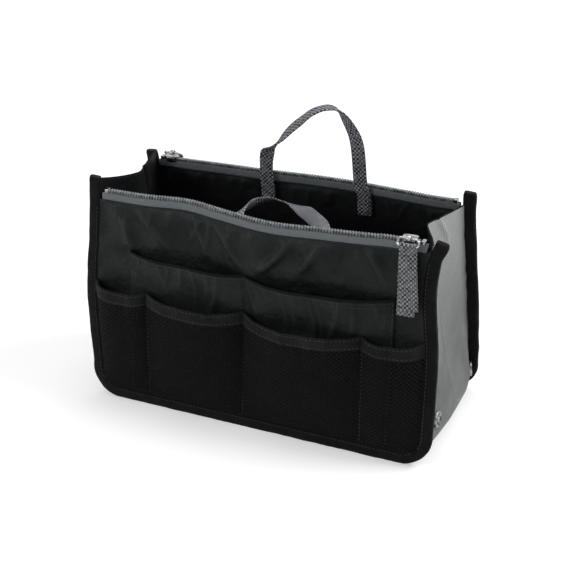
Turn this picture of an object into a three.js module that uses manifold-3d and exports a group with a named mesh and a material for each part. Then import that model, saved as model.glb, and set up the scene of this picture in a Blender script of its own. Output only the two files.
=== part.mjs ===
import * as THREE from 'three';
import { mergeVertices } from 'three/addons/utils/BufferGeometryUtils.js';
import Module from 'manifold-3d';

// Purse organizer insert: two zipped sides with pockets, joined by folding gussets and a base.
// Millimetres. X runs along the insert, -Y is its front, Z is up, and it stands on Z = 0.

// Overall size
const overallLength = 280;
const baseDepth = 122;
const mouthDepth = 80;
const earHeight = 172;
const fitGap = 0.3;
const cutOverrun = 1;

// Binding, the stiff bound edge that runs down one end, along the foot and up the other end
const bindingWidth = 10;
const bindingThickness = 5;
const bindingCornerRadius = 24;

// Front sheet and lining of each zipped side
const panelRecess = 0.8;
const panelThickness = 1;
const liningRecess = 0.6;
const liningThickness = 1;
const panelTop = 160;

// Zip along the top of each side
const tapeThickness = 0.8;
const tapeHeight = 4.8;
const tapeEndInset = 2.2;
const chainWidth = 4;
const chainHeight = 2.4;
const stopLength = 3;
const stopProud = 0.3;
const stopEndInset = 4;

// Slider, its lug, and the wire ring that hangs in the lug
const sliderLength = 11;
const sliderWall = 0.9;
const sliderRoof = 1.4;
const sliderGap = 0.35;
const sliderSkirt = 1.2;
const sliderToStop = 3.5;
const lugWidth = 3;
const lugRim = 1.1;
const wireDiameter = 1.8;
const wireGap = 0.35;
const ringHeight = 10.5;
const ringCornerRadius = 1.4;

// Webbing pull, folded round the foot of the ring
const pullWidth = 13;
const pullLength = 54;
const webbingThickness = 1.2;
const pullSwing = -1;

// Nylon pockets, sewn to the front sheet at three lines, and the piping along their mouth
const middleSeam = -8;
const pocketInsetLeft = 26;
const pocketInsetRight = 23;
const pocketTop = 122;
const pocketWall = 0.8;
const pocketMouthDepth = 8;
const pipingHeight = 2;
const pipingThickness = 1.6;

// Net pockets in front of them, sewn at five lines, and their hem
const netInsetLeft = 42;
const netInsetRight = 44;
const netLap = 1;
const netTop = 96;
const netHemHeight = 10;
const netThickness = 0.8;
const netHemThickness = 1.5;
const netMouthDepth = 15.6;

// Folding ends and base: outer leaves on the sides, middle leaves between them
const leafThickness = 1.2;
const leafInset = 1;
const leafReach = 32;
const leafLap = 3;
const gussetTop = 165;
const gussetFoldDepth = 37;
const foldStart = 34;
const lapGapAtBase = 2.6;

// Snaps low on the gussets
const snapDiameter = 12.5;
const snapRim = 2;
const snapRimWidth = 1.9;
const snapPlate = 1;
const snapStudDiameter = 4;
const snapStudHeight = 2.3;
const snapPostDiameter = 3.6;
const snapCapDiameter = 9;
const snapCapThickness = 1;
const snapHeight = 31;
const snapInset = 22;

// Webbing handles and their sewn ends
const handleWidth = 11;
const handleThickness = 1.4;
const handleEndHeight = 18;
const handleEndThickness = 2.8;
const handlePivotGap = 0.6;
const frontHandle = { centre: 15, span: 70, rise: 57, swing: 100 };
const backHandle = { centre: -10, span: 79, rise: 64, swing: 0 };

// Loose arch of a handle, from its left foot: across as a share of half its span, up as a share of its rise,
// and its turn from flat to on edge
const looseArch = [
  [-1, 0, 0],
  [-0.99, 0.15, 0],
  [-0.95, 0.33, 0],
  [-0.93, 0.42, 0],
  [-0.88, 0.63, 0.15],
  [-0.81, 0.75, 0.35],
  [-0.65, 0.89, 0.7],
  [-0.51, 0.97, 0.9],
  [-0.38, 1, 1],
  [-0.2, 0.99, 1],
  [0.05, 0.91, 1],
  [0.24, 0.81, 1],
  [0.45, 0.69, 1],
  [0.63, 0.58, 1],
  [0.8, 0.47, 0.85],
  [0.94, 0.4, 0.4],
  [0.985, 0.31, 0.1],
  [1, 0.15, 0],
  [1, 0, 0],
];

// Swell of the slack sheet between its pockets and its zip, whose chain stays straight
const swellFoot = 126;
const frontSwell = { centre: 14, reach: 40, depth: 4.5 };
const backSwell = { centre: -24, reach: 58, depth: 6 };

// Facets of round forms
const bendSpacing = 2.2;
const arcSteps = 6;
const roundSteps = 16;
const wireSides = 8;
const handleSteps = 36;
const swellColumns = 14;
const swellRows = 6;

// Heights and depths that follow from the sizes above; depth is measured inward from the binding's outer face
const lean = (baseDepth - mouthDepth) / 2 / earHeight;
const halfLength = overallLength / 2;
const halfInside = halfLength - bindingWidth;
const cornerX = halfLength - bindingCornerRadius;
const panelFace = panelRecess;
const panelMiddle = panelFace + panelThickness / 2;
const liningBack = bindingThickness - liningRecess;
const liningFace = liningBack - liningThickness;
const liningMiddle = liningFace + liningThickness / 2;
const chainMiddle = (panelFace + liningBack) / 2;
const tapeFoot = panelTop + fitGap;
const chainFoot = tapeFoot + tapeHeight + fitGap;
const chainTop = chainFoot + chainHeight;
const sliderX = halfInside - stopEndInset - stopLength - sliderToStop - sliderLength / 2;
const sheetFoot = bindingWidth + fitGap;
const handlePivotHeight = panelTop;
const snapSetback = baseDepth / 2 - snapInset;
const leafEdge = baseDepth / 2 - leafReach;
const middleLeafEdge = leafEdge + leafLap;
const ringWidth = pullWidth + wireDiameter + 2 * (ringCornerRadius + fitGap);

// Colours of the materials
const blackNylon = { color: 0x26262a, roughness: 0.62, metalness: 0 };
const blackBinding = { color: 0x17171a, roughness: 0.7, metalness: 0 };
const blackNet = { color: 0x1c1c1f, roughness: 0.8, metalness: 0 };
const greyFabric = { color: 0x8b8d8e, roughness: 0.75, metalness: 0 };
const greyWebbing = { color: 0x6d7074, roughness: 0.8, metalness: 0 };
const greyTape = { color: 0x5b6064, roughness: 0.75, metalness: 0 };
const greyTeeth = { color: 0x4a4c50, roughness: 0.4, metalness: 0 };
const brightMetal = { color: 0xc9cbcd, roughness: 0.28, metalness: 1 };

const wasm = await Module();
wasm.setup();

const insert = new THREE.Group();
insert.name = 'purse_organizer_insert';

function add(group, name, geometry, look) {
  const mesh = new THREE.Mesh(geometry, new THREE.MeshStandardMaterial(look));
  mesh.name = name;
  group.add(mesh);
  return mesh;
}

// Y of a depth on the front side at floor level
function depthY(depth) {
  return depth - baseDepth / 2;
}

// Shear that leans a side inward as it rises, so that its foot stays flat on the floor
function leaned(geometry) {
  const shear = new THREE.Matrix4().makeShear(0, 0, 0, 0, 0, lean);
  return geometry.applyMatrix4(shear);
}

// Closed solid from points and triangles, turned so that its faces point out
function solidFrom(points, triangles) {
  let volume = 0;
  for (const [a, b, c] of triangles) {
    volume += points[a].dot(points[b].clone().cross(points[c]));
  }
  const outward = volume > 0 ? triangles : triangles.map(([a, b, c]) => [a, c, b]);
  const geometry = new THREE.BufferGeometry().setFromPoints(points);
  geometry.setIndex(outward.flat());
  geometry.computeVertexNormals();
  return geometry;
}

// Triangles that close one flat ring of points
function capTriangles(ring) {
  const normal = new THREE.Vector3();
  ring.forEach((point, i) => {
    normal.add(point.clone().cross(ring[(i + 1) % ring.length]));
  });
  normal.normalize();
  const across = ring[1].clone().sub(ring[0]).normalize();
  const along = normal.clone().cross(across);
  const flat = ring.map((point) => new THREE.Vector2(point.dot(across), point.dot(along)));
  return THREE.ShapeUtils.triangulateShape(flat, []);
}

// Solid through a row of rings that have the same number of points
function loft(rings, closed = false) {
  const count = rings[0].length;
  const triangles = [];
  const spans = closed ? rings.length : rings.length - 1;
  for (let r = 0; r < spans; r += 1) {
    const here = r * count;
    const next = ((r + 1) % rings.length) * count;
    for (let i = 0; i < count; i += 1) {
      const j = (i + 1) % count;
      triangles.push([here + i, here + j, next + j], [here + i, next + j, next + i]);
    }
  }
  if (!closed) {
    const last = (rings.length - 1) * count;
    for (const [a, b, c] of capTriangles(rings[0])) triangles.push([c, b, a]);
    for (const [a, b, c] of capTriangles(rings[rings.length - 1])) {
      triangles.push([last + a, last + b, last + c]);
    }
  }
  return solidFrom(rings.flat(), triangles);
}

// Box between two corners
function boxBetween(low, high) {
  const geometry = new THREE.BoxGeometry(high[0] - low[0], high[1] - low[1], high[2] - low[2]);
  return geometry.translate((low[0] + high[0]) / 2, (low[1] + high[1]) / 2, (low[2] + high[2]) / 2);
}

// Upright plate on the front side, from an outline in X and Z
function uprightPlate(shape, depth, thickness) {
  const geometry = new THREE.ExtrudeGeometry(shape, {
    depth: thickness,
    bevelEnabled: false,
    curveSegments: arcSteps,
  });
  return leaned(geometry.rotateX(Math.PI / 2).translate(0, depthY(depth) + thickness, 0));
}

// Strip on the front side that runs along X, from an outline in Y and Z
function crossStrip(shape, fromX, toX) {
  const geometry = new THREE.ExtrudeGeometry(shape, {
    depth: toX - fromX,
    bevelEnabled: false,
    curveSegments: roundSteps,
  });
  return geometry.rotateX(Math.PI / 2).rotateZ(Math.PI / 2).translate(fromX, 0, 0);
}

function toManifold(geometry) {
  const bare = geometry.clone();
  bare.deleteAttribute('normal');
  bare.deleteAttribute('uv');
  const merged = mergeVertices(bare);
  return new wasm.Manifold(new wasm.Mesh({
    numProp: 3,
    vertProperties: new Float32Array(merged.attributes.position.array),
    triVerts: new Uint32Array(merged.index.array),
  }));
}

function fromManifold(manifold) {
  const { vertProperties, triVerts } = manifold.getMesh();
  const geometry = new THREE.BufferGeometry();
  geometry.setAttribute('position', new THREE.BufferAttribute(new Float32Array(vertProperties), 3));
  geometry.setIndex(new THREE.BufferAttribute(new Uint32Array(triVerts), 1));
  geometry.computeVertexNormals();
  return geometry;
}

// Outline with upright ends and two rounded lower corners, anticlockwise from its upper left
function roundFootOutline(shape, halfWidth, top, foot, radius) {
  shape.moveTo(-halfWidth, top);
  shape.lineTo(-halfWidth, foot + radius);
  shape.absarc(radius - halfWidth, foot + radius, radius, Math.PI, Math.PI * 1.5);
  shape.lineTo(halfWidth - radius, foot);
  shape.absarc(halfWidth - radius, foot + radius, radius, -Math.PI / 2, 0);
  shape.lineTo(halfWidth, top);
}

function bindingGeometry() {
  const shape = new THREE.Shape();
  const innerRadius = bindingCornerRadius - bindingWidth;
  roundFootOutline(shape, halfLength, earHeight, 0, bindingCornerRadius);
  shape.lineTo(halfInside, earHeight);
  shape.lineTo(halfInside, bindingCornerRadius);
  shape.absarc(cornerX, bindingCornerRadius, innerRadius, 0, -Math.PI / 2, true);
  shape.lineTo(-cornerX, bindingWidth);
  shape.absarc(-cornerX, bindingCornerRadius, innerRadius, -Math.PI / 2, -Math.PI, true);
  shape.lineTo(-halfInside, earHeight);
  shape.closePath();
  return uprightPlate(shape, 0, bindingThickness);
}

// Sheet inside the binding, up to a given height
function sheetGeometry(depth, thickness, top) {
  const shape = new THREE.Shape();
  const radius = bindingCornerRadius - bindingWidth - fitGap;
  roundFootOutline(shape, halfInside - fitGap, top, sheetFoot, radius);
  shape.closePath();
  return uprightPlate(shape, depth, thickness);
}

// Evenly spread numbers from one value to another
function spread(from, to, steps) {
  return Array.from({ length: steps + 1 }, (_, i) => from + ((to - from) * i) / steps);
}

// How far a sheet swells outward at a place
function swellAt({ centre, reach, depth }, x, z) {
  const share = THREE.MathUtils.clamp((z - swellFoot) / (panelTop - swellFoot), 0, 1);
  return depth * Math.exp(-(((x - centre) / reach) ** 2)) * Math.sin(Math.PI * share);
}

// Outer sheet: a swelling sheet that is cut to the outline inside the binding
function panelGeometry(swell) {
  const end = halfInside + cutOverrun;
  const places = spread(-end, end, swellColumns);
  const heights = [sheetFoot - cutOverrun, ...spread(swellFoot, panelTop, swellRows)];
  const slack = loft(heights.map((z) => {
    const y = depthY(panelFace) + lean * z;
    const outer = places.map((x) => new THREE.Vector3(x, y - swellAt(swell, x, z), z));
    const inner = outer.map(({ x, y: outerY }) => new THREE.Vector3(x, outerY + panelThickness, z));
    return [...outer, ...inner.reverse()];
  }));
  const cutFace = panelFace - swell.depth - cutOverrun;
  const cutThickness = swell.depth + panelThickness + 2 * cutOverrun;
  const cutter = sheetGeometry(cutFace, cutThickness, panelTop + cutOverrun);
  return fromManifold(toManifold(slack).intersect(toManifold(cutter)));
}

// Straight strip along the zip, by its range in X, its middle depth, its thickness and its heights
function zipStrip(fromX, toX, middle, thickness, foot, top) {
  const low = [fromX, depthY(middle) - thickness / 2, foot];
  const high = [toX, depthY(middle) + thickness / 2, top];
  return leaned(boxBetween(low, high));
}

function addZip(group, side) {
  const tapeEnd = halfInside - tapeEndInset;
  const stopEnd = halfInside - stopEndInset;
  const chainEnd = stopEnd - stopLength - fitGap;
  const tapeTop = tapeFoot + tapeHeight;
  const tapes = { outer: panelMiddle, inner: liningMiddle };
  for (const [place, middle] of Object.entries(tapes)) {
    const tape = zipStrip(-tapeEnd, tapeEnd, middle, tapeThickness, tapeFoot, tapeTop);
    add(group, `${side}_zip_tape_${place}`, tape, greyTape);
  }
  const chain = zipStrip(-chainEnd, chainEnd, chainMiddle, chainWidth, chainFoot, chainTop);
  add(group, `${side}_zip_chain`, chain, greyTeeth);
  const stopWidth = chainWidth + 2 * stopProud;
  const stopStarts = { left: -stopEnd, right: stopEnd - stopLength };
  for (const [place, start] of Object.entries(stopStarts)) {
    const top = chainTop + stopProud;
    const stop = zipStrip(start, start + stopLength, chainMiddle, stopWidth, chainFoot, top);
    add(group, `${side}_zip_stop_${place}`, stop, brightMetal);
  }
}

// Ring pivot in front of the slider: the wire clears the slider's skirt
const skirtFace = chainMiddle - chainWidth / 2 - sliderGap - sliderWall;
const ringPivotDepth = skirtFace - wireDiameter / 2 - wireGap;
const ringPivotZ = chainTop + sliderGap + sliderRoof;
const ringPivotY = depthY(ringPivotDepth) + lean * ringPivotZ;

// Slider: a saddle over the teeth with a lug for the ring on its front edge
function sliderGeometry() {
  const inner = chainWidth / 2 + sliderGap;
  const outer = inner + sliderWall;
  const middle = depthY(chainMiddle);
  const roofFoot = chainTop + sliderGap;
  const roofTop = roofFoot + sliderRoof;
  const skirtFoot = chainFoot - sliderSkirt;
  const saddle = new THREE.Shape();
  saddle.moveTo(middle - outer, skirtFoot);
  saddle.lineTo(middle - inner, skirtFoot);
  saddle.lineTo(middle - inner, roofFoot);
  saddle.lineTo(middle + inner, roofFoot);
  saddle.lineTo(middle + inner, skirtFoot);
  saddle.lineTo(middle + outer, skirtFoot);
  saddle.lineTo(middle + outer, roofTop);
  saddle.lineTo(middle - outer, roofTop);
  saddle.closePath();
  const halfSlider = sliderLength / 2;
  const body = leaned(crossStrip(saddle, sliderX - halfSlider, sliderX + halfSlider));
  const lugHole = wireDiameter / 2 + wireGap;
  const lugRadius = lugHole + lugRim;
  const lug = new THREE.Shape();
  const lugTop = ringPivotZ + lugRadius;
  const lugBack = ringPivotY + lugRadius + lugRim;
  lug.moveTo(ringPivotY, lugTop);
  lug.absarc(ringPivotY, ringPivotZ, lugRadius, Math.PI / 2, Math.PI * 1.5);
  lug.lineTo(ringPivotY, ringPivotZ - sliderRoof / 2);
  lug.lineTo(lugBack, ringPivotZ - sliderRoof / 2);
  lug.lineTo(lugBack, ringPivotZ + sliderRoof / 2);
  lug.closePath();
  const hole = new THREE.Shape();
  hole.absarc(ringPivotY, ringPivotZ, lugHole, 0, Math.PI * 2);
  const lugBody = crossStrip(lug, sliderX - lugWidth / 2, sliderX + lugWidth / 2);
  const cutLow = sliderX - lugWidth / 2 - cutOverrun;
  const cutHigh = sliderX + lugWidth / 2 + cutOverrun;
  const bore = toManifold(crossStrip(hole, cutLow, cutHigh));
  return fromManifold(toManifold(body).add(toManifold(lugBody)).subtract(bore));
}

// Rectangular wire ring, hung upright from its upper bar at the origin
function ringGeometry() {
  const halfWidth = (ringWidth - wireDiameter) / 2;
  const drop = ringHeight - wireDiameter;
  const bend = ringCornerRadius;
  const path = [];
  const corners = [
    [halfWidth - bend, -bend, Math.PI / 2],
    [bend - halfWidth, -bend, Math.PI],
    [bend - halfWidth, bend - drop, Math.PI * 1.5],
    [halfWidth - bend, bend - drop, Math.PI * 2],
  ];
  for (const [x, z, end] of corners) {
    for (let i = 0; i <= arcSteps / 2; i += 1) {
      const angle = end - Math.PI / 2 + (Math.PI / 2) * (i / (arcSteps / 2));
      path.push({ x: x + bend * Math.cos(angle), z: z + bend * Math.sin(angle), angle });
    }
  }
  const rings = path.map(({ x, z, angle }) => {
    const ring = [];
    for (let i = 0; i < wireSides; i += 1) {
      const turn = (Math.PI * 2 * i) / wireSides;
      const out = (wireDiameter / 2) * Math.cos(turn);
      const side = (wireDiameter / 2) * Math.sin(turn);
      ring.push(new THREE.Vector3(x + out * Math.cos(angle), side, z + out * Math.sin(angle)));
    }
    return ring;
  });
  return loft(rings, true);
}

// Webbing pull: two layers sewn together, with a loop round the ring's lower bar
function pullGeometry() {
  const barZ = wireDiameter - ringHeight;
  const holeRadius = wireDiameter / 2 + fitGap;
  const loopRadius = holeRadius + webbingThickness;
  const neck = Math.asin(webbingThickness / loopRadius);
  const shape = new THREE.Shape();
  shape.absarc(0, barZ, loopRadius, neck - Math.PI / 2, Math.PI * 1.5 - neck);
  shape.lineTo(-webbingThickness, barZ - pullLength);
  shape.lineTo(webbingThickness, barZ - pullLength);
  shape.closePath();
  const hole = new THREE.Path();
  hole.absarc(0, barZ, holeRadius, 0, Math.PI * 2);
  shape.holes.push(hole);
  return crossStrip(shape, -pullWidth / 2, pullWidth / 2);
}

function addPull(group, side) {
  add(group, `${side}_zip_slider`, sliderGeometry(), brightMetal);
  const pull = new THREE.Group();
  pull.position.set(sliderX, ringPivotY, ringPivotZ);
  pull.rotation.x = -Math.atan(lean) - THREE.MathUtils.degToRad(pullSwing);
  add(pull, `${side}_pull_ring`, ringGeometry(), brightMetal);
  add(pull, `${side}_pull_tab`, pullGeometry(), greyWebbing);
  group.add(pull);
}

// Seam lines of the nylon pockets and of the net, which laps over the binding at its ends
const pocketSeams = [pocketInsetLeft - halfInside, middleSeam, halfInside - pocketInsetRight];
const netSeams = [
  -halfInside - netLap,
  netInsetLeft - halfInside,
  middleSeam,
  halfInside - netInsetRight,
  halfInside + netLap,
];

// Spread of a pocket across its width and over its height, from seam to seam and from foot to mouth
const bayWidthShares = [0, 0.11, 0.27, 0.5, 0.73, 0.89, 1];
const bayDepthShares = [0, 0.54, 0.9, 1, 0.9, 0.54, 0];
const riseHeightShares = [0, 0.12, 0.4, 1];
const pocketRiseShares = [0, 0.2, 0.4, 0.7, 1];
const netRiseShares = [0, 0.46, 0.84, 1];

// Value at a place in a rising table, by straight lines between its entries
function interpolate(places, values, place) {
  for (let i = 1; i < places.length; i += 1) {
    if (place <= places[i]) {
      const share = (place - places[i - 1]) / (places[i] - places[i - 1]);
      return values[i - 1] + (values[i] - values[i - 1]) * Math.max(0, share);
    }
  }
  return values[values.length - 1];
}

// How far open a row of bays is at a place between their seams, from 0 at a seam to 1
function bayShare(seams, x) {
  for (let i = 1; i < seams.length; i += 1) {
    if (x >= seams[i - 1] && x <= seams[i]) {
      const share = (x - seams[i - 1]) / (seams[i] - seams[i - 1]);
      return interpolate(bayWidthShares, bayDepthShares, share);
    }
  }
  return 0;
}

// Places along X where either row of pockets has a seam or a bend, without the bends that crowd another place
function bayStations() {
  const stations = [...new Set([...pocketSeams, ...netSeams])];
  for (const seams of [pocketSeams, netSeams]) {
    for (let i = 1; i < seams.length; i += 1) {
      for (const share of bayWidthShares) {
        const bend = seams[i - 1] + (seams[i] - seams[i - 1]) * share;
        const crowded = stations.some((place) => Math.abs(place - bend) < bendSpacing);
        if (!crowded) stations.push(bend);
      }
    }
  }
  return stations.sort((a, b) => a - b);
}

const riseHeights = riseHeightShares.map((share) => sheetFoot + (netTop - sheetFoot) * share);

// Stand-off of the nylon pockets' inner face from the front sheet
function pocketStandOff(x, z) {
  const mouthShare = interpolate([...riseHeights, pocketTop], pocketRiseShares, z);
  return fitGap + pocketMouthDepth * mouthShare * bayShare(pocketSeams, x);
}

// Stand-off of the net's inner face: on the nylon pockets at its seams, free between them
function netStandOff(x, z) {
  const overPocket = x >= pocketSeams[0] && x <= pocketSeams[pocketSeams.length - 1];
  const seat = overPocket ? pocketStandOff(x, z) + pocketWall + fitGap : panelRecess + fitGap;
  const reach = seat + Math.max(0, netMouthDepth * interpolate(riseHeights, netRiseShares, z) - seat);
  return seat + (reach - seat) * bayShare(netSeams, x);
}

// Wall between two faces that stand off the front sheet, from one end to the other, through the given heights
function pocketWallGeometry(ends, heights, firstFace, secondFace) {
  const places = bayStations().filter((x) => x >= ends[0] && x <= ends[1]);
  return loft(heights.map((z) => {
    const sheetY = depthY(panelFace) + lean * z;
    const first = places.map((x) => new THREE.Vector3(x, sheetY - firstFace(x, z), z));
    const second = places.map((x) => new THREE.Vector3(x, sheetY - secondFace(x, z), z));
    return [...first, ...second.reverse()];
  }));
}

// The nylon's outer face and the net's inner face come first and share their heights, so they run parallel
function addPockets(group, side) {
  const pocketEnds = [pocketSeams[0], pocketSeams[pocketSeams.length - 1]];
  const netEnds = [netSeams[0], netSeams[netSeams.length - 1]];
  const hemFoot = netTop - netHemHeight;
  const netHeights = [...riseHeights.slice(0, -1), hemFoot - fitGap];
  const hemHeights = [hemFoot, netTop];
  const pocketHeights = [...netHeights, ...hemHeights, pocketTop];
  const pipingHeights = [pocketTop + fitGap, pocketTop + fitGap + pipingHeight];
  const raised = (standOff, thickness) => (x, z) => standOff(x, z) + thickness;
  const nylonFace = raised(pocketStandOff, pocketWall);
  const pipingFace = raised(pocketStandOff, pipingThickness);
  const netFace = raised(netStandOff, netThickness);
  const hemFace = raised(netStandOff, netHemThickness);
  const pocket = pocketWallGeometry(pocketEnds, pocketHeights, nylonFace, pocketStandOff);
  const piping = pocketWallGeometry(pocketEnds, pipingHeights, pipingFace, pocketStandOff);
  const net = pocketWallGeometry(netEnds, netHeights, netStandOff, netFace);
  const hem = pocketWallGeometry(netEnds, hemHeights, netStandOff, hemFace);
  add(group, `${side}_pocket_panel`, pocket, blackNylon);
  add(group, `${side}_pocket_piping`, piping, blackBinding);
  add(group, `${side}_mesh_panel`, net, blackNet);
  add(group, `${side}_mesh_hem`, hem, blackBinding);
}

// Handle: webbing along a loose arch, flat on the lining at its ends and turned on edge at its crown
function handleGeometry({ span, rise }) {
  const arch = new THREE.CatmullRomCurve3(looseArch.map((row) => new THREE.Vector3(...row)));
  const rings = arch.getPoints(handleSteps).map(({ x: across, y: up, z: turn }) => ({
    place: new THREE.Vector3((across * span) / 2, 0, up * rise),
    turn: (Math.PI / 2) * THREE.MathUtils.clamp(turn, 0, 1),
  }));
  return loft(rings.map(({ place, turn }, i) => {
    const before = rings[Math.max(0, i - 1)].place;
    const after = rings[Math.min(handleSteps, i + 1)].place;
    const ends = i === 0 || i === handleSteps;
    const upright = new THREE.Vector3(0, 0, i === 0 ? 1 : -1);
    const along = ends ? upright : after.clone().sub(before).normalize();
    const outOfPlane = new THREE.Vector3(0, 1, 0);
    const inPlane = outOfPlane.clone().cross(along);
    const wide = inPlane.clone().multiplyScalar(Math.cos(turn)).addScaledVector(outOfPlane, Math.sin(turn));
    const thin = along.clone().cross(wide);
    return [[1, 1], [-1, 1], [-1, -1], [1, -1]].map(([w, t]) => place.clone()
      .addScaledVector(wide, (w * handleWidth) / 2)
      .addScaledVector(thin, (t * handleThickness) / 2));
  }));
}

const handleEndBack = liningBack + fitGap + handleEndThickness;
const handlePivotDepth = handleEndBack + handleThickness / 2;
const handlePivotY = depthY(handlePivotDepth) + lean * handlePivotHeight;

function addHandle(group, side, handle) {
  const handleEndTop = handlePivotHeight - handlePivotGap;
  const places = { left: -handle.span / 2, right: handle.span / 2 };
  for (const [place, offset] of Object.entries(places)) {
    const middle = handle.centre + offset;
    const low = [middle - handleWidth / 2, depthY(liningBack + fitGap), handleEndTop - handleEndHeight];
    const high = [middle + handleWidth / 2, depthY(handleEndBack), handleEndTop];
    add(group, `${side}_handle_end_${place}`, leaned(boxBetween(low, high)), greyWebbing);
  }
  const strap = add(group, `${side}_handle`, handleGeometry(handle), greyWebbing);
  strap.position.set(handle.centre, handlePivotY, handlePivotHeight);
  strap.rotation.x = -THREE.MathUtils.degToRad(handle.swing);
}

// Inner face of the outer gusset leaf, and the corner that it turns round
const leafFaceX = halfInside + leafInset;
const leafRadius = leafFaceX - cornerX;

// Clearance between the outer leaf and the middle leaf, wider towards the foot, where the sides swing in
function lapGap(z) {
  return fitGap + (lapGapAtBase - fitGap) * (1 - z / gussetTop);
}

// Stations down the end of the insert and round its corner, each with its inward direction
function stripStations(heights, gapAt) {
  const stations = heights.map((z) => ({
    place: new THREE.Vector3(leafFaceX - gapAt(z), 0, z),
    inward: new THREE.Vector3(-1, 0, 0),
  }));
  for (let i = 1; i <= arcSteps; i += 1) {
    const angle = (Math.PI / 2) * (i / arcSteps);
    const drop = bindingCornerRadius - leafRadius * Math.sin(angle);
    const radius = leafRadius - gapAt(drop);
    const across = radius * Math.cos(angle);
    const down = radius * Math.sin(angle);
    stations.push({
      place: new THREE.Vector3(cornerX + across, 0, bindingCornerRadius - down),
      inward: new THREE.Vector3(-Math.cos(angle), 0, Math.sin(angle)),
    });
  }
  return stations;
}

function outerLeafGeometry() {
  const stations = stripStations([gussetTop, bindingCornerRadius], () => 0);
  return loft(stations.map(({ place, inward }) => {
    const seamY = depthY(bindingThickness + fitGap) + lean * place.z;
    const outer = place.clone().addScaledVector(inward, -leafThickness);
    return [
      new THREE.Vector3(outer.x, seamY, outer.z),
      new THREE.Vector3(place.x, seamY, place.z),
      new THREE.Vector3(place.x, -leafEdge, place.z),
      new THREE.Vector3(outer.x, -leafEdge, outer.z),
    ];
  }));
}

// Depth of the middle leaf's inward fold at a height
function foldDepth(z) {
  const share = Math.max(0, (z - foldStart) / (gussetTop - foldStart));
  return gussetFoldDepth * Math.pow(share, 1.15);
}

function middleLeafGeometry() {
  const heights = [];
  for (let i = 0; i <= arcSteps; i += 1) {
    heights.push(gussetTop + (foldStart - gussetTop) * (i / arcSteps));
  }
  heights.push(bindingCornerRadius);
  const stations = stripStations(heights, lapGap);
  return loft(stations.map(({ place, inward }) => {
    const across = [-middleLeafEdge, 0, middleLeafEdge];
    const outer = across.map((y) => {
      const point = place.clone().addScaledVector(inward, y === 0 ? foldDepth(place.z) : 0);
      return point.setY(y);
    });
    const inner = outer.map((point) => point.clone().addScaledVector(inward, leafThickness));
    return [...outer, ...inner.reverse()];
  }));
}

// Snap plate with its rim, stud and post, about the X axis, with the leaf's outer face at X = 0
function snapGeometry() {
  const rimOuter = snapDiameter / 2;
  const rimInner = rimOuter - snapRimWidth;
  const plateTop = fitGap + snapPlate;
  const rimTop = fitGap + snapRim;
  const postEnd = -leafThickness - fitGap - snapCapThickness;
  const profile = [
    [0, postEnd],
    [snapPostDiameter / 2, postEnd],
    [snapPostDiameter / 2, fitGap],
    [rimOuter, fitGap],
    [rimOuter, rimTop],
    [rimInner, rimTop],
    [rimInner, plateTop],
    [snapStudDiameter / 2, plateTop],
    [snapStudDiameter / 2, fitGap + snapStudHeight],
    [0, fitGap + snapStudHeight],
  ].map(([radius, height]) => new THREE.Vector2(radius, height));
  return new THREE.LatheGeometry(profile, roundSteps).rotateZ(-Math.PI / 2);
}

// Washer behind the leaf, round the snap's post
function snapCapGeometry() {
  const bore = snapPostDiameter / 2 + fitGap;
  const front = -leafThickness - fitGap;
  const back = front - snapCapThickness;
  const profile = [
    [bore, back],
    [snapCapDiameter / 2, back],
    [snapCapDiameter / 2, front],
    [bore, front],
    [bore, back],
  ].map(([radius, height]) => new THREE.Vector2(radius, height));
  return new THREE.LatheGeometry(profile, roundSteps).rotateZ(-Math.PI / 2);
}

function leafWithHole(leaf) {
  const radius = snapPostDiameter / 2 + fitGap;
  const length = leafThickness + 2 * cutOverrun;
  const hole = new THREE.CylinderGeometry(radius, radius, length, roundSteps).rotateZ(-Math.PI / 2);
  hole.translate(leafFaceX + leafThickness / 2, -snapSetback, snapHeight);
  return fromManifold(toManifold(leaf).subtract(toManifold(hole)));
}

function mirroredAcrossY(geometry) {
  const mirrored = geometry.clone().applyMatrix4(new THREE.Matrix4().makeScale(1, -1, 1));
  const { index } = mirrored;
  for (let i = 0; i < index.count; i += 3) {
    const second = index.getX(i + 1);
    index.setX(i + 1, index.getX(i + 2));
    index.setX(i + 2, second);
  }
  return mirrored;
}

// One end: outer leaves at the front and back with their snaps, and the folding leaf between them
function addEnd(group, end, nearSide, farSide) {
  const leaf = leafWithHole(outerLeafGeometry());
  add(group, `${end}_gusset_${nearSide}`, leaf, greyFabric);
  add(group, `${end}_gusset_${farSide}`, mirroredAcrossY(leaf), greyFabric);
  add(group, `${end}_gusset_middle`, middleLeafGeometry(), greyFabric);
  const places = { [nearSide]: -snapSetback, [farSide]: snapSetback };
  for (const [side, y] of Object.entries(places)) {
    const kind = side === 'front' ? 'stud' : 'socket';
    const snap = add(group, `${end}_${side}_snap_${kind}`, snapGeometry(), brightMetal);
    const cap = add(group, `${end}_${side}_snap_cap`, snapCapGeometry(), brightMetal);
    for (const piece of [snap, cap]) piece.position.set(leafFaceX + leafThickness, y, snapHeight);
  }
}

function addBase(group) {
  const leafFoot = bindingCornerRadius - leafRadius - leafThickness;
  const leafTop = leafFoot + leafThickness;
  const end = cornerX - fitGap;
  const seam = depthY(bindingThickness + fitGap);
  const outerLeaf = leaned(boxBetween([-end, seam, leafFoot], [end, -leafEdge, leafTop]));
  add(group, 'base_front', outerLeaf, blackNylon);
  const back = add(group, 'base_back', outerLeaf.clone(), blackNylon);
  back.rotation.z = Math.PI;
  const middleFoot = leafTop + lapGap(0);
  const low = [-end, -middleLeafEdge, middleFoot];
  const high = [end, middleLeafEdge, middleFoot + leafThickness];
  add(group, 'base_middle', boxBetween(low, high), blackNylon);
}

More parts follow.
